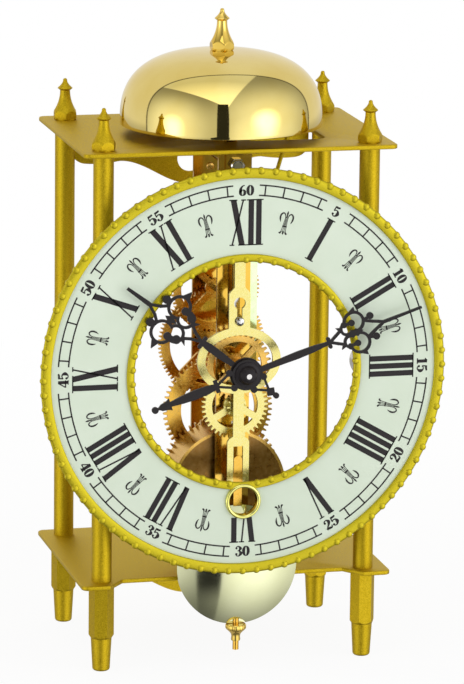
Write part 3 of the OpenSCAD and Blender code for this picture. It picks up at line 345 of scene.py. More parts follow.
def make_feet():
    """Hexagonal blocks turned down to round tapered legs with rounded soles."""
    sole_r, edge, shank_r, wide = 2.6, 0.8, 3.1, HEX_R + 0.5
    hex_low, shoulder, top = 10.0, 1.6, DECK_Z - PLATE_T
    profile = [(0, 0), (sole_r - edge, 0)]
    for a in [s * math.pi / 2 for s in steps(6)[1:]]:
        profile.append((sole_r - edge + edge * math.sin(a), edge - edge * math.cos(a)))
    profile += [(shank_r, hex_low - 0.05), (shank_r + 0.05, hex_low)]
    profile += [(shank_r + (wide - shank_r) * s, hex_low + shoulder * s) for s in steps(16)[1:]]
    profile += [(wide, top - 0.35), (HEX_R + 0.1, top - 0.3), (HEX_R - 0.2, top), (0, top)]
    spins = [math.radians(a) + math.pi / 6 for a in FOOT_TURNS]
    shapes = [placed(turned(profile, 72, HEX_FLAT, spin), x, y, 0) for spin, (x, y) in zip(spins, corners())]
    piece("hexagonal_feet", joined(shapes), gold_paint, "case", ["feet"], 28)


def inset(outline, depth):
    """The outline of (x, y) points, anticlockwise, moved inwards by depth."""
    moved = []
    for before, here, after in zip(outline[-1:] + outline, outline, outline[1:] + outline[:1]):
        e0 = (Vector(here) - Vector(before)).normalized()
        e1 = (Vector(after) - Vector(here)).normalized()
        n0, n1 = Vector((-e0.y, e0.x)), Vector((-e1.y, e1.x))
        mid = (n0 + n1).normalized()
        moved.append(tuple(Vector(here) + mid * (depth / max(0.3, mid.dot(n0)))))
    return moved


def sheet_metal(outline, hole, low, high, edge):
    """A flat plate with softened edges and at most one hole."""
    soft = 0.3 * edge
    layers = [(edge, low), (soft, low + soft), (0, low + edge), (0, high - edge), (soft, high - soft), (edge, high)]
    points, faces = [], []
    loops = {low: [], high: []}
    for sign, line in ((1, outline), (-1, hole)):
        if not line:
            continue
        rings = [[(x, y, z) for x, y in inset(line, sign * depth)] for depth, z in layers]
        base = len(points)
        some, sides = skin(rings)
        points.extend(some)
        faces.extend(tuple(base + i for i in side) for side in sides)
        count = len(line)
        loops[low].append(range(base, base + count))
        loops[high].append(range(base + len(some) - count, base + len(some)))
    for loop in loops.values():
        order = [i for part in loop for i in part]
        flat = [[Vector((points[i][0], points[i][1], 0)) for i in part] for part in loop]
        faces.extend(tuple(order[i] for i in tri) for tri in tessellate_polygon(flat))
    return points, faces


def round_cornered(x0, x1, y0, y1, r):
    """A rectangle with rounded corners, anticlockwise."""
    line = []
    for cx, cy, start in ((x1 - r, y0 + r, -90), (x1 - r, y1 - r, 0), (x0 + r, y1 - r, 90), (x0 + r, y0 + r, 180)):
        turns = [math.radians(start + a) for a in range(0, 91, 10)]
        line += [(cx + r * math.cos(a), cy + r * math.sin(a)) for a in turns]
    return line


def make_plates():
    """The roof with its opening for the hammer, and the deck with a recess that clears the pendulum."""
    half_w, front, back = PLATE_W / 2, FRAME_Y - PLATE_D / 2, FRAME_Y + PLATE_D / 2
    opening_left, opening_right, opening_corner = 5.0, 29.0, 3.6
    recess_mouth, recess_end, recess_y = 38.6, 33.6, FRAME_Y - 27.4
    outline = round_cornered(-half_w, half_w, front, back, PLATE_CORNER)
    opening = round_cornered(opening_left, opening_right, FRAME_Y - 19.7, BELL_Y + 6.5, opening_corner)
    top = sheet_metal(outline, opening, ROOF_Z - PLATE_T, ROOF_Z, PLATE_EDGE)
    piece("roof_plate", top, gold_paint, "case", ["top_plate"], 30)
    recess = [(-recess_mouth, front), (-recess_end, recess_y), (recess_end, recess_y), (recess_mouth, front)]
    deck = sheet_metal(recess + outline, None, DECK_Z - PLATE_T, DECK_Z, PLATE_EDGE)
    piece("deck_plate", deck, gold_paint, "case", ["bottom_plate"], 30)


# ---------------------------------------------------------------- bell

def bell_curve(radius, height, count):
    """The dome's outline from its rim to its crown, as (radius, height) pairs."""
    curve = []
    for s in steps(count):
        a = s * math.pi / 2
        curve.append((radius * math.cos(a) ** (2 / BELL_POWER), height * math.sin(a) ** (2 / BELL_POWER)))
    return curve


def make_bell():
    """A thin spun shell with a softly rounded rim."""
    sides, lip = 160, BELL_WALL / 2
    lip_h = lip / 2
    outer, inner = [[(r, h) for r, h in bell_curve(BELL_R - wall, BELL_H - wall, count)
                     if r > BELL_HOLE and h > lip_h] for wall, count in ((0.0, 96), (BELL_WALL, 64))]
    rim = [(BELL_R - lip - lip * math.cos(a), lip_h * (1 - math.sin(a))) for a in [math.pi * s for s in steps(8)]]
    profile = inner[::-1] + rim + outer
    points, faces = turned(profile, sides)
    last = (len(profile) - 1) * sides
    for i in range(sides):
        j = (i + 1) % sides
        faces.append((last + i, last + j, j, i))
    shell = placed((points, faces), 0, BELL_Y, BELL_RIM_Z)
    piece("spun_bell", shell, polished_brass, "case", ["bell"], 50)


# ---------------------------------------------------------------- dial

def rim_land(r_plain, r_beaded):
    """A pressed rim: flat, with a softened plain edge, and falling away towards its beaded edge."""
    sides, out = 264, 1 if r_beaded > r_plain else -1
    deep = BEZEL_FRONT - DIAL_FRONT
    land = [(r_plain, deep), (r_plain, -0.22), (r_plain + 0.06 * out, -0.07), (r_plain + 0.22 * out, 0.0),
            (r_beaded - 1.2 * out, 0.0), (r_beaded - 0.6 * out, -0.06), (r_beaded - 0.2 * out, -0.2),
            (r_beaded, -0.42), (r_beaded, deep), (r_plain, deep)]
    return placed(turned(land, sides), 0, BEZEL_FRONT, DIAL_Z, True)


def rim_beads(ring_r, bead_r, beads):
    """The row of low, domed beads along a rim, left out behind the key eyelet."""
    lowest = BEZEL_FRONT - DIAL_FRONT + BEAD_SUNK
    quarter = math.pi / 2
    dome = [(bead_r * math.sin(quarter * t), BEAD_RISE * math.cos(quarter * t)) for t in steps(9)]
    bead = turned([(0, BEAD_RISE)] + dome[1:] + [(bead_r, lowest), (0, lowest)], 20)
    shapes = []
    for i in range(beads):
        a = 2 * math.pi * i / beads
        x, z = ring_r * math.sin(a), DIAL_Z + ring_r * math.cos(a)
        if math.hypot(x, z - KEY_Z) > KEY_R + KEY_FLANGE + bead_r:
            shapes.append(placed(bead, x, BEZEL_FRONT + BEAD_SUNK, z, True))
    return joined(shapes)


def make_rims():
    """The two beaded rims; the inner one makes way for the key eyelet."""
    outer = rim_land(DIAL_R - OUTER_BAND, DIAL_R - BEAD_BULGE)
    piece("outer_rim", outer, brightened_rim_paint, "case", ["outer_bezel"], 50)
    beads = rim_beads(DIAL_R - OUTER_BEAD, OUTER_BEAD, OUTER_BEADS)
    piece("outer_beads", beads, brightened_rim_paint, "case", (), 50)
    inner = rim_land(OPENING_R + INNER_BAND, OPENING_R + BEAD_BULGE)
    rim = piece("inner_rim", inner, brightened_rim_paint, "case", ["inner_bezel"], 50)
    through = 5.0
    carve(rim, placed(rod_shape(KEY_R + KEY_FLANGE, -through, through), 0, BEZEL_FRONT, KEY_Z, True))
    beads = rim_beads(OPENING_R + INNER_BEAD, INNER_BEAD, INNER_BEADS)
    piece("inner_beads", beads, brightened_rim_paint, "case", (), 50)


def make_eyelet():
    """The rolled brass eyelet that lines the winding hole."""
    back, face, front = -(DIAL_BACK + 0.6), -DIAL_FRONT, -(BEZEL_FRONT - 0.4)
    roll_w, roll_h = KEY_FLANGE / 2, 0.45
    flange_r, wall_r = KEY_R + KEY_FLANGE, KEY_R + KEY_WALL
    lip = [(KEY_R, back), (KEY_R, front - roll_h)]
    for a in [math.pi * s for s in steps(14)[1:-1]]:
        lip.append((KEY_R + roll_w - roll_w * math.cos(a), front - roll_h + roll_h * math.sin(a)))
    lip += [(flange_r, front - 0.5), (flange_r, face), (wall_r, face), (wall_r, back), (KEY_R, back)]
    eyelet = placed(turned(lip, 72), 0, 0, KEY_Z, True)
    piece("key_eyelet", eyelet, eyelet_brass, "case", ["key_grommet"], 50)


# The print stands a hair proud of the enamel. Its rows are set out by their distance from the dial's centre.
INK_BACK, INK_FRONT, INK_THINNEST = DIAL_FRONT + 0.02, DIAL_FRONT - 0.05, 0.04
NUMERAL_LOW, NUMERAL_HIGH, KEY_TOP = 37.8, 51.4, 43.8
STEM, HAIR, SERIF, PITCH = 1.62, 0.46, 0.34, 2.3
FLEUR_BAND_R, FLEUR_WEIGHT = 44.5, 1.3
FIGURE_FOOT, FIGURE_H, FIGURE_W, FIGURE_PITCH, FIGURE_WEIGHT = 52.5, 3.1, 1.2, 2.28, 1.25
TRACK_LOW, TRACK_HIGH, TRACK_LINE, TRACK_GAP = 52.6, 55.6, 0.42, 4.1


def on_dial(angle, u, v):
    """A point u clockwise and v outwards from the dial's centre, on the radius at this angle in degrees."""
    a = math.radians(angle)
    return v * math.sin(a) + u * math.cos(a), DIAL_Z + v * math.cos(a) - u * math.sin(a)


def smooth_path(points, count):
    """A soft curve of (u, v, width) through the given ones."""
    if len(points) == 2:
        return points
    line = [points[0]] + list(points) + [points[-1]]
    path = []
    for p0, p1, p2, p3 in zip(line, line[1:], line[2:], line[3:]):
        for s in steps(count)[:-1]:
            path.append(tuple(0.5 * (2 * b + (c - a) * s + (2 * a - 5 * b + 4 * c - d) * s * s
                                     + (3 * b - a - 3 * c + d) * s ** 3) for a, b, c, d in zip(p0, p1, p2, p3)))
    return path + [points[-1]]


def stroke(place, points, count=6):
    """An inked stroke through (u, v, width) points; place maps (u, v) to the dial."""
    path = smooth_path(points, count)
    rings = []
    for i, (u, v, w) in enumerate(path):
        before, after = path[max(0, i - 1)], path[min(len(path) - 1, i + 1)]
        along = Vector((after[0] - before[0], after[1] - before[1])).normalized()
        side = Vector((-along.y, along.x)) * max(w, INK_THINNEST) / 2
        x0, z0 = place(u + side.x, v + side.y)
        x1, z1 = place(u - side.x, v - side.y)
        rings.append([(x0, INK_BACK, z0), (x1, INK_BACK, z1), (x1, INK_FRONT, z1), (x0, INK_FRONT, z0)])
    return skin_capped(rings)


def block(place, corners_uv):
    """A flat patch of ink inside straight sides."""
    return prism([place(u, v) for u, v in corners_uv], INK_BACK, INK_FRONT)


def dot(place, u, v, r):
    """A round patch of ink."""
    turns = [math.pi * i / 8 for i in range(16)]
    return block(place, [(u + r * math.cos(a), v + r * math.sin(a)) for a in turns])


def bar(place, u0, u1, v, w):
    """A level line of ink, as in a serif."""
    return block(place, [(u0, v - w / 2), (u1, v - w / 2), (u1, v + w / 2), (u0, v + w / 2)])


def slant(place, top, foot, w, low):
    """A straight stroke from the numeral's head towards its foot, cut level at both ends."""
    foot += (top - foot) * (low - NUMERAL_LOW) / (NUMERAL_HIGH - NUMERAL_LOW)
    half = w / 2
    return block(place, [(foot - half, low), (foot + half, low),
                         (top + half, NUMERAL_HIGH), (top - half, NUMERAL_HIGH)])


def numeral(text, angle, low):
    """A Roman numeral with thick and hairline strokes, its feet towards the centre, or cut off by a raised low."""
    half = {"I": 1.35, "V": 2.6, "X": 2.65}
    width = 0.0
    middles = []
    for before, letter in zip(" " + text, text):
        if before == "I" and letter == "I":
            width -= 2 * half["I"] - PITCH
        middles.append(width + half[letter])
        width += 2 * half[letter]
    shapes = []
    for letter, middle in zip(text, middles):
        def place(u, v, m=middle - width / 2):
            return on_dial(angle, u + m, v)
        head, foot = NUMERAL_HIGH - SERIF / 2, NUMERAL_LOW + SERIF / 2
        if letter == "I":
            shapes += [slant(place, 0, 0, STEM, low), bar(place, -half["I"], half["I"], head, SERIF)]
            if low == NUMERAL_LOW:
                shapes.append(bar(place, -half["I"], half["I"], foot, SERIF))
        elif letter == "V":
            shapes += [slant(place, -1.55, 0.1, STEM, low), slant(place, 1.6, 0.35, HAIR, low),
                       bar(place, -2.6, -0.5, head, SERIF), bar(place, 0.85, 2.4, head, SERIF)]
        else:
            shapes += [slant(place, -1.35, 1.35, STEM + 0.1, low), slant(place, 1.65, -1.65, HAIR, low),
                       bar(place, -2.6, -0.2, head, SERIF), bar(place, 0.95, 2.4, head, SERIF),
                       bar(place, -2.4, -0.95, foot, SERIF), bar(place, 0.2, 2.6, foot, SERIF)]
    return shapes


def figure(digit, place):
    """A bold figure one unit high, centred on u = 0."""
    def pen(points, count=6):
        return stroke(place, [(u, v, 0.02 + FIGURE_WEIGHT * w) for u, v, w in points], count)

    loop = [(math.cos(t), math.sin(t)) for t in [2 * math.pi * s for s in steps(20)]]
    if digit == "0":
        return [pen([(0.19 * c, 0.5 + 0.46 * s, 0.04 + 0.14 * abs(c)) for c, s in loop], 2)]
    if digit == "1":
        return [pen([(0.03, 0.02, 0.19), (0.03, 0.99, 0.19)]),
                pen([(-0.2, 0.8, 0.05), (-0.12, 0.84, 0.09), (0.0, 0.96, 0.12)]),
                pen([(-0.2, 0.025, 0.06), (0.25, 0.025, 0.06)])]
    if digit == "2":
        return [pen([(-0.2, 0.72, 0.1), (-0.15, 0.9, 0.07), (0.02, 0.96, 0.07), (0.17, 0.78, 0.18),
                     (0.1, 0.52, 0.14), (-0.1, 0.27, 0.07), (-0.24, 0.08, 0.06)]),
                dot(place, -0.17, 0.72, 0.09),
                pen([(-0.24, 0.09, 0.14), (-0.05, 0.11, 0.16), (0.15, 0.07, 0.14),
                     (0.25, 0.12, 0.06), (0.27, 0.28, 0.05)])]
    if digit == "3":
        return [pen([(-0.19, 0.78, 0.08), (-0.12, 0.93, 0.06), (0.03, 0.96, 0.08), (0.16, 0.77, 0.18),
                     (0.06, 0.56, 0.08), (-0.06, 0.53, 0.05)]),
                pen([(-0.06, 0.53, 0.05), (0.08, 0.5, 0.08), (0.2, 0.28, 0.19), (0.03, 0.03, 0.07),
                     (-0.14, 0.07, 0.06), (-0.21, 0.22, 0.08)]),
                dot(place, -0.16, 0.77, 0.085), dot(place, -0.17, 0.23, 0.09)]
    if digit == "4":
        return [pen([(0.12, 0.02, 0.18), (0.12, 0.99, 0.18)]), pen([(0.08, 0.98, 0.06), (-0.27, 0.29, 0.06)]),
                pen([(-0.29, 0.27, 0.07), (0.29, 0.27, 0.07)]), pen([(-0.06, 0.025, 0.06), (0.29, 0.025, 0.06)])]
    if digit == "5":
        return [pen([(-0.17, 0.98, 0.06), (-0.19, 0.5, 0.06)]),
                pen([(-0.18, 0.92, 0.12), (0.0, 0.9, 0.14), (0.2, 0.96, 0.1)]),
                pen([(-0.19, 0.5, 0.05), (-0.05, 0.62, 0.06), (0.12, 0.57, 0.1), (0.2, 0.33, 0.2),
                     (0.1, 0.09, 0.1), (-0.06, 0.03, 0.06), (-0.2, 0.16, 0.07)]),
                dot(place, -0.17, 0.2, 0.095)]
    # The only figure left is a six.
    return [pen([(0.18 * c, 0.29 + 0.26 * s, 0.04 + 0.13 * abs(c)) for c, s in loop], 2),
            pen([(-0.19, 0.3, 0.15), (-0.16, 0.62, 0.15), (-0.02, 0.9, 0.08), (0.16, 0.98, 0.05)])]


def minute_figures(minute):
    """The number of minutes over an hour, the right way up all round the dial."""
    angle = minute * 6
    turned_over = 15 < minute < 45
    text = str(minute)
    shapes = []
    for i, digit in enumerate(text):
        shift = (i - (len(text) - 1) / 2) * FIGURE_PITCH

        def place(u, v):
            u, v = u * FIGURE_H * FIGURE_W + shift, v * FIGURE_H
            if turned_over:
                return on_dial(angle, -u, FIGURE_FOOT + FIGURE_H - v)
            return on_dial(angle, u, FIGURE_FOOT + v)
        shapes += figure(digit, place)
    return shapes


def minute_track():
    """Two fine circles broken at the figures, with a tick at each minute."""
    shapes = []
    for hour in range(12):
        span = [hour * 30 + TRACK_GAP + s * (30 - 2 * TRACK_GAP) for s in steps(22)]
        for radius in (TRACK_LOW, TRACK_HIGH):
            shapes.append(stroke(lambda u, v, r=radius: on_dial(u, 0, r + v), [(a, 0, TRACK_LINE) for a in span], 1))
        for minute in range(1, 5):
            angle = hour * 30 + minute * 6
            tick = [(0, TRACK_LOW, TRACK_LINE), (0, TRACK_HIGH, TRACK_LINE)]
            shapes.append(stroke(lambda u, v, a=angle: on_dial(a, u, v), tick))
    return shapes


def half_hour_fleur(angle):
    """A traditional half-hour ornament: a spear, two drooping petals, a hatched and banded stem, three toes."""
    def place(u, v):
        return on_dial(angle, u, FLEUR_BAND_R + v)

    def ink(where, points):
        return stroke(where, [(u, v, FLEUR_WEIGHT * w) for u, v, w in points])

    shapes = [ink(place, [(0, 2.7, 0.1), (0, 3.5, 0.3), (0, 4.0, 0.36), (0, 4.6, 0.08)]),
              ink(place, [(-0.68, 0, 0.32), (0.68, 0, 0.32)]),
              ink(place, [(0, -1.5, 0.16), (0, -2.05, 0.38), (0, -2.45, 0.12)])]
    for line in (-0.42, -0.14, 0.14, 0.42):
        shapes += [ink(place, [(line * 1.2, 0.1, 0.13), (line, 1.6, 0.13), (line * 0.95, 3.1, 0.1)]),
                   ink(place, [(line * 1.25, -0.1, 0.13), (line * 1.7, -1.75, 0.12)])]
    for side in (-1, 1):
        def half(u, v, k=side):
            return place(k * u, v)
        shapes += [ink(half, [(0.36, 2.4, 0.1), (0.48, 3.15, 0.2), (0.8, 3.68, 0.26), (1.25, 3.84, 0.3),
                              (1.7, 3.5, 0.34), (1.92, 2.9, 0.38), (1.86, 2.0, 0.34), (1.52, 1.1, 0.08)]),
                   ink(half, [(0.6, -1.4, 0.14), (0.72, -1.85, 0.32), (1.0, -2.1, 0.4), (1.26, -1.95, 0.14)])]
    return shapes


def make_dial():
    """The enamelled ring with its winding hole, and its print."""
    back, front = -DIAL_BACK, -DIAL_FRONT
    r_in, r_out, edge, sides, past = OPENING_R + RIM_LAP, DIAL_R - RIM_LAP, 0.15, 180, 2.0
    ring = [(r_in, back), (r_in, front - edge), (r_in + edge, front), (r_out - edge, front), (r_out, front - edge),
            (r_out, back), (r_in, back)]
    disc = placed(turned(ring, sides), 0, 0, DIAL_Z, True)
    plate = piece("enamel_dial", disc, dial_enamel, "case", ["dial_ring"], 30)
    carve(plate, placed(rod_shape(KEY_R + KEY_WALL, back - past, front + past), 0, 0, KEY_Z, True))
    names = ["XII", "I", "II", "III", "IIII", "V", "VI", "VII", "VIII", "IX", "X", "XI"]
    shapes = []
    for hour, text in enumerate(names):
        shapes += numeral(text, hour * 30, KEY_TOP if text == "VI" else NUMERAL_LOW)
    piece("hour_numerals", joined(shapes), dial_ink, "case", (), 40)
    shapes = [s for minute in range(5, 61, 5) for s in minute_figures(minute)]
    piece("minute_figures", joined(shapes), dial_ink, "case", (), 40)
    piece("minute_track", joined(minute_track()), dial_ink, "case", (), 40)
    shapes = [s for hour in range(12) for s in half_hour_fleur(hour * 30 + 15)]
    piece("half_hour_fleurs", joined(shapes), dial_ink, "case", (), 40)


# ---------------------------------------------------------------- pendulum

def make_bob():
    """A dished disc, fuller in front, with a slot for the hanger and a blind arched notch over the rating nut."""
    rim, slack = 0.4, 0.06
    slot_low, slot_high, slot_x, slot_y = 14.5, 70.0, HANGER_W / 2 + slack, HANGER_T / 2 + slack
    notch_r, notch_z, notch_back, notch_front = 3.3, BOB_Z - BOB_R - 1.5, -0.15, 8.0
    thread_r, thread_low, thread_high = 0.96, 8.0, 20.4
    dome = [(BOB_R * s, 1 - s * s) for s in steps(60)]
    edge = [(BOB_R, rim), (BOB_R, 0.0), (BOB_R, -rim)]
    face = [(r, rim + (BOB_FRONT - rim) * up) for r, up in dome[:-1]]
    reverse = [(r, -rim - (BOB_REAR - rim) * up) for r, up in dome[-2::-1]]
    disc = placed(turned(face + edge + reverse, 160), 0, PENDULUM_Y, BOB_Z, True)
    bob = piece("dished_bob", disc, bob_brass, "bob_disc", ["bob"], 40)
    carve(bob, box_shape(-slot_x, slot_x, PENDULUM_Y - slot_y, PENDULUM_Y + slot_y, slot_low, slot_high))
    carve(bob, placed(rod_shape(notch_r, notch_back, notch_front), 0, PENDULUM_Y, notch_z, True))
    carve(bob, placed(rod_shape(thread_r, thread_low, thread_high), 0, PENDULUM_Y, 0))


def make_rating_nut():
    """A cup-topped brass nut, knurled round its flange."""
    low, height, flange, neck, bore = BOB_Z - BOB_R - 5.3, 5.2, 3.1, 1.4, 0.95
    sides, knurl, groove = 96, 4, 0.965
    profile = [(bore, 0), (neck - 0.3, 0), (neck - 0.08, 0.12), (neck, 0.4), (neck - 0.1, 1.4), (neck + 0.02, 2.0),
               (neck + 0.25, 2.4), (neck + 0.9, 3.1), (flange - 0.3, 3.55), (flange, 3.95), (flange, height - 0.3),
               (flange - 0.3, height), (bore, height), (bore, 0)]
    points, faces = turned(profile, sides)
    knurled = []
    for i, (x, y, z) in enumerate(points):
        shrink = groove if math.hypot(x, y) > flange - 0.05 and (i % sides) % knurl < knurl / 2 else 1.0
        knurled.append((x * shrink, y * shrink, z))
    nut = placed((knurled, faces), 0, PENDULUM_Y, low)
    piece("knurled_rating_nut", nut, gilt_brass, "nut", ["rating_nut"], 40)


def make_suspension():
    """The spring blade between its cock and the pendulum's head."""
    half_t, low, high, bend_high, bend_low = 0.08, SWING_Z - 3.8, SWING_Z + 8.6, SWING_Z + 4, SWING_Z - 2
    front, back = PENDULUM_Y - 1.5, PENDULUM_Y + 1.5
    rings = [[(-half_t, front, z), (half_t, front, z), (half_t, back, z), (-half_t, back, z)]
             for z in [low + s * (high - low) for s in steps(24)]]
    strip = skin_capped(rings)
    blade = piece("suspension_blade", strip, spring_steel, None, ["suspension_spring"], 40)
    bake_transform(blade)


def make_small_fasteners():
    """The chamfered face of the nut over the dial, and the riveted end of a stud in the front plate beside it."""
    ring = [(1.24, 0), (1.24, 0.16), (1.42, 0.36), (1.66, 0.36), (1.95, 0.08), (1.95, 0), (1.24, 0)]
    face = placed(turned(ring, 48), 0, NUT_FRONT, NUT_Z, True)
    piece("nut_face", face, bright_steel, "case", (), 30)
    head = [(0, -0.2), (1.13, -0.2), (1.13, 0.34), (1.04, 0.46), (0.8, 0.56), (0.4, 0.62), (0, 0.64)]
    stud = placed(turned(head, 32), STUD_X, MOVEMENT_FRONT, STUD_Z, True)
    piece("plate_stud", stud, brushed_brass, "case", (), 40)


make_bob()
make_rating_nut()
make_suspension()
make_small_fasteners()
make_finials()
make_feet()
make_plates()
make_bell()
make_rims()
make_eyelet()
make_dial()


# ---------------------------------------------------------------- studio

# The photo's camera: its angles in degrees, and its distance, place and focal length in millimetres and pixels.
CAMERA_AZIMUTH, CAMERA_UP, CAMERA_ROLL = 14.009, 12.481, 0.654
CAMERA_AWAY, CAMERA_SHIFT_X, CAMERA_Z, FOCAL_PIXELS = 1387.44, 5.552, 91.999, 4623.96
IMAGE_H, SENSOR, CLIP_END = 684, 36.0, 20000.0
# The table: how far it reaches, how far under the feet it lies, and where and how it fades to white.
FLOOR_REACH, FLOOR_DROP, FLOOR_FADE, FLOOR_WHITE = 450.0, 0.02, (120.0, 420.0), 0.93
# The lamps: how far off and how wide they are, and the height that they face.
LAMP_AWAY, LAMP_SIZE, LAMP_AIM_Z = 900.0, 600.0, 95.0
# The white tent round the clock, seen in the metal: two panels with a slot for the lens between them, a ceiling and a
# warmer back. Azimuths are from the camera's own, rightwards, and all angles are in degrees. A pair of levels goes with
# a pair of angles from low to high, and the ceiling's goes from the front of the tent to its middle.
TENT_AXIS, TENT_REACH, SEAM = (12.5, 3.4), 105.5, (-0.5, 0.5)
PANEL_TOPS = ((1.31, -58.0), (2.96, 88.0))
PANEL_LEVELS, PANEL_FADE = (0.2, 0.34), (-45.0, -12.0)
BACK_LEVELS, BACK_FADE = (0.5, 0.86), (-11.0, -5.0)
ARCH_LEVELS, ARCH_FADE = (0.25, 1.0), (0.5, 1.6)
CEILING_LEVELS, CEILING_AHEAD = (1.7, 0.82), (0.7, -0.05)
# The slot's middle and half width, each at its foot and higher up, the angles between these, and how its ends fade.
SLOT_MIDDLES, SLOT_HALVES, SLOT_BEND = (-0.6, 2.5), (11.4, 7.2), (-18.0, -9.0)
SLOT_LEVEL, SLOT_EDGE, SLOT_TOP = 0.03, (-0.6, 0.0), (35.5, 37.0)
SLOT_FOOT_SHARES, SLOT_FOOT = (0.55, 1.0), (-50.0, -28.0)
# Each glow on the panels: azimuth, angle up, where it starts and ends to fade, and its strength.
GLOWS = ((-56.0, -5.0, 2.0, 18.0, 1.9), (-56.0, -5.0, 8.0, 62.0, 0.95), (53.0, 3.0, 4.0, 22.0, 2.2),
         (53.0, 3.0, 10.0, 84.0, 0.88), (36.0, -30.0, 6.0, 46.0, 0.45))
# The share of the tent's light that falls on matt surfaces, so that a colour renders as written.
MATT_SHARE = 0.86


def make_floor():
    """A pale table top that keeps the clock's shadow and fades into the white background."""
    turns = [2 * math.pi * i / 96 for i in range(96)]
    rings = [[(0, 0, -FLOOR_DROP)]]
    for reach in [FLOOR_REACH * s for s in steps(4)[1:]]:
        rings.append([(reach * math.cos(a), reach * math.sin(a), -FLOOR_DROP) for a in turns])
    points, faces = skin(rings)
    mesh = bpy.data.meshes.new("pale_table")
    mesh.from_pydata([Vector(p) * MM for p in points], [], faces)
    surface = bpy.data.materials.new("matt_white_table")
    surface.use_nodes = True
    tree = surface.node_tree
    tree.nodes.clear()
    place = add(tree, "ShaderNodeTexCoord")
    away = add(tree, "ShaderNodeVectorMath", {0: place.outputs["Object"]}, operation="LENGTH")
    share = add(tree, "ShaderNodeMapRange", {"Value": away.outputs["Value"], "From Min": FLOOR_FADE[0] * MM,
                                             "From Max": FLOOR_FADE[1] * MM, "To Min": FLOOR_WHITE, "To Max": 1.0})
    path = add(tree, "ShaderNodeLightPath")
    seen = path.outputs["Is Camera Ray"]
    for ray in ("Is Glossy Ray", "Is Transmission Ray"):
        seen = add(tree, "ShaderNodeMath", {0: seen, 1: path.outputs[ray]}, operation="MAXIMUM")
    share = add(tree, "ShaderNodeMath", {0: share, 1: seen}, operation="MULTIPLY")
    matt = add(tree, "ShaderNodeBsdfDiffuse", {"Color": linear("#F2F2F0")})
    glow = add(tree, "ShaderNodeEmission", {"Strength": 1.0})
    both = add(tree, "ShaderNodeMixShader", {0: share, 1: matt, 2: glow})
    add(tree, "ShaderNodeOutputMaterial", {"Surface": both})
    mesh.materials.append(surface)
    table = bpy.data.objects.new("pale_table", mesh)
    bpy.context.scene.collection.objects.link(table)
    table.visible_glossy = False


def toward(azimuth, up):
    """The direction from the clock at these angles, with azimuth 0 in front of it."""
    a, e = math.radians(azimuth), math.radians(up)
    return Vector((math.sin(a) * math.cos(e), -math.cos(a) * math.cos(e), math.sin(e)))


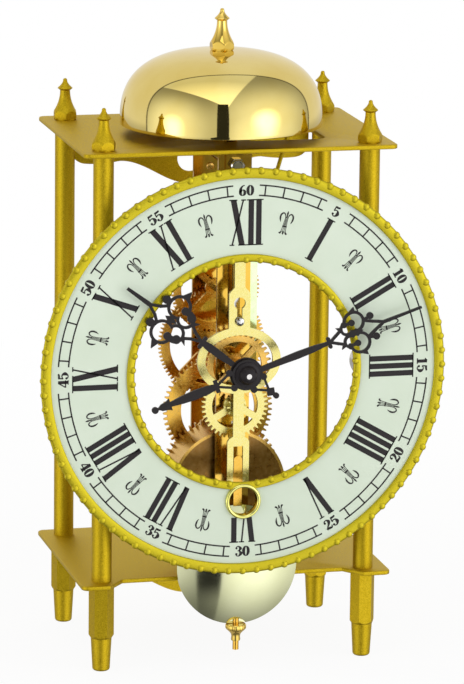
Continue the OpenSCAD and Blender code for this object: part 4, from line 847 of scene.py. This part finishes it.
def make_world():
    """The photo tent as light from each direction; the camera itself sees plain white."""
    world = bpy.data.worlds.new("photo_tent")
    bpy.context.scene.world = world
    world.use_nodes = True
    tree = world.node_tree
    tree.nodes.clear()
    place = add(tree, "ShaderNodeTexCoord")
    turn = (0, 0, math.radians(CAMERA_AZIMUTH))
    aim = add(tree, "ShaderNodeMapping", {"Vector": place.outputs["Generated"], "Rotation": turn})
    part = add(tree, "ShaderNodeSeparateXYZ", {0: aim})
    ahead = add(tree, "ShaderNodeMath", {0: part.outputs["Y"], 1: -1.0}, operation="MULTIPLY")
    azimuth = add(tree, "ShaderNodeMath", {0: part.outputs["X"], 1: ahead}, operation="ARCTAN2")
    height = add(tree, "ShaderNodeMath", {0: part.outputs["Z"]}, operation="ARCSINE")

    # Where a direction lies against the ceiling's edge, the back's seam and the slot.
    near = add(tree, "ShaderNodeVectorMath", {0: aim, 1: toward(*TENT_AXIS)}, operation="DOT_PRODUCT")
    away = add(tree, "ShaderNodeMath", {0: near.outputs["Value"]}, operation="ARCCOSINE")
    tops = []
    for slope, middle in PANEL_TOPS:
        side = toward(middle, 0)
        across = Vector((-slope * side.x, -slope * side.y, 1)).normalized()
        tops.append(add(tree, "ShaderNodeVectorMath", {0: aim, 1: across}, operation="DOT_PRODUCT").outputs["Value"])
    right = add(tree, "ShaderNodeMath", {0: azimuth, 1: math.radians(SLOT_MIDDLES[1])}, operation="GREATER_THAN")
    above = add(tree, "ShaderNodeMix", {0: right, 2: tops[0], 3: tops[1]}, data_type="FLOAT")
    beyond = add(tree, "ShaderNodeMath", {0: away, 1: math.radians(TENT_REACH)}, operation="SUBTRACT")
    arch = add(tree, "ShaderNodeMath", {0: beyond}, operation="ABSOLUTE")
    low, high = [math.radians(angle) for angle in SLOT_BEND]
    slot = [add(tree, "ShaderNodeMapRange", {"Value": height, "From Min": low, "From Max": high,
                                             "To Min": math.radians(foot), "To Max": math.radians(higher)})
            for foot, higher in (SLOT_MIDDLES, SLOT_HALVES)]
    aside = add(tree, "ShaderNodeMath", {0: azimuth, 1: slot[0]}, operation="SUBTRACT")
    aside = add(tree, "ShaderNodeMath", {0: aside}, operation="ABSOLUTE")
    aside = add(tree, "ShaderNodeMath", {0: aside, 1: slot[1]}, operation="SUBTRACT")

    # The tent's levels and the shares in which they take over from each other.
    fades = {"panel": (height, PANEL_FADE, PANEL_LEVELS), "back_level": (height, BACK_FADE, BACK_LEVELS),
             "ceiling": (above, SEAM, (0, 1)), "back": (beyond, SEAM, (0, 1)), "arch": (arch, ARCH_FADE, ARCH_LEVELS),
             "slot_width": (aside, SLOT_EDGE, (1, 0)), "slot_height": (height, SLOT_TOP, (1, 0)),
             "slot_foot": (height, SLOT_FOOT, SLOT_FOOT_SHARES)}
    share = {}
    for name, (value, angles, levels) in fades.items():
        low, high = [math.radians(angle) for angle in angles]
        share[name] = add(tree, "ShaderNodeMapRange", {"Value": value, "From Min": low, "From Max": high,
                                                       "To Min": levels[0], "To Max": levels[1]},
                          interpolation_type="SMOOTHSTEP")
    (low, high), (start, end) = CEILING_AHEAD, CEILING_LEVELS
    ceiling = add(tree, "ShaderNodeMapRange", {"Value": ahead, "From Min": low, "From Max": high,
                                               "To Min": start, "To Max": end})
    level = share["panel"]
    for spot, up, start, end, strength in GLOWS:
        near = add(tree, "ShaderNodeVectorMath", {0: aim, 1: toward(spot, up)}, operation="DOT_PRODUCT")
        away = add(tree, "ShaderNodeMath", {0: near.outputs["Value"]}, operation="ARCCOSINE")
        low, high = math.radians(start), math.radians(end)
        glow = add(tree, "ShaderNodeMapRange", {"Value": away, "From Min": low, "From Max": high,
                                                "To Min": strength, "To Max": 0.0}, interpolation_type="SMOOTHSTEP")
        level = add(tree, "ShaderNodeMath", {0: level, 1: glow}, operation="ADD")
    level = add(tree, "ShaderNodeMix", {0: share["ceiling"], 2: level, 3: ceiling}, data_type="FLOAT")
    slot = add(tree, "ShaderNodeMath", {0: share["slot_width"], 1: share["slot_height"]}, operation="MULTIPLY")
    slot = add(tree, "ShaderNodeMath", {0: slot, 1: share["slot_foot"]}, operation="MULTIPLY")
    level = add(tree, "ShaderNodeMix", {0: slot, 2: level, 3: SLOT_LEVEL}, data_type="FLOAT")
    level = add(tree, "ShaderNodeMix", {0: share["back"], 2: level, 3: share["back_level"]}, data_type="FLOAT")
    level = add(tree, "ShaderNodeMath", {0: level, 1: share["arch"]}, operation="MULTIPLY")

    # The metal mirrors the cloth at full strength, and matt surfaces take their share of it.
    cloth = add(tree, "ShaderNodeMix", {0: share["back"], MIX_A: linear("#FFFFFF"), MIX_B: linear("#FFFBF4")},
                data_type="RGBA")
    path = add(tree, "ShaderNodeLightPath")
    dim = add(tree, "ShaderNodeMath", {0: path.outputs["Is Diffuse Ray"], 1: MATT_SHARE - 1, 2: 1.0},
              operation="MULTIPLY_ADD")
    level = add(tree, "ShaderNodeMath", {0: level, 1: dim}, operation="MULTIPLY")
    tent = add(tree, "ShaderNodeBackground", {"Color": cloth.outputs[MIX_OUT], "Strength": level})
    seen = add(tree, "ShaderNodeMath", {0: path.outputs["Is Camera Ray"], 1: path.outputs["Is Transmission Ray"]},
               operation="MAXIMUM")
    white = add(tree, "ShaderNodeBackground", {"Color": linear("#FFFFFF"), "Strength": 1.0})
    both = add(tree, "ShaderNodeMixShader", {0: seen, 1: tent, 2: white})
    add(tree, "ShaderNodeOutputWorld", {"Surface": both})


def make_lamp(name, azimuth, up, power):
    """A soft lamp that faces the clock and isn't mirrored in the metal."""
    lamp = bpy.data.lights.new(name, "AREA")
    lamp.size = LAMP_SIZE * MM
    lamp.energy = power
    obj = bpy.data.objects.new(name, lamp)
    bpy.context.scene.collection.objects.link(obj)
    aim = toward(azimuth, up)
    obj.location = (aim * LAMP_AWAY + Vector((0, 0, LAMP_AIM_Z))) * MM
    obj.rotation_euler = aim.to_track_quat("Z", "Y").to_euler()
    obj.visible_glossy = False


def make_camera():
    """The camera at the photo's place and angle."""
    a, e = math.radians(CAMERA_AZIMUTH), math.radians(CAMERA_UP)
    ahead = Vector((math.sin(a) * math.cos(e), math.cos(a) * math.cos(e), -math.sin(e)))
    right = Vector((math.cos(a), -math.sin(a), 0))
    up = right.cross(ahead)
    eye = Vector((0, FRAME_Y, CAMERA_Z)) - ahead * CAMERA_AWAY + right * CAMERA_SHIFT_X
    turn = Matrix((right, up, -ahead)).transposed()
    roll = Matrix.Rotation(math.radians(CAMERA_ROLL), 3, "Z")
    lens = bpy.data.cameras.new("photo_camera")
    lens.sensor_width = SENSOR
    lens.lens = FOCAL_PIXELS * SENSOR / IMAGE_H
    lens.clip_end = CLIP_END * MM
    camera = bpy.data.objects.new("photo_camera", lens)
    bpy.context.scene.collection.objects.link(camera)
    camera.matrix_world = Matrix.Translation(eye * MM) @ (turn @ roll).to_4x4()
    bpy.context.scene.camera = camera


make_floor()
make_world()
make_lamp("left_softbox", -60, 30, 1.0)
make_lamp("right_softbox", 45, 35, 0.6)
make_camera()
bpy.context.scene.view_settings.view_transform = "Standard"
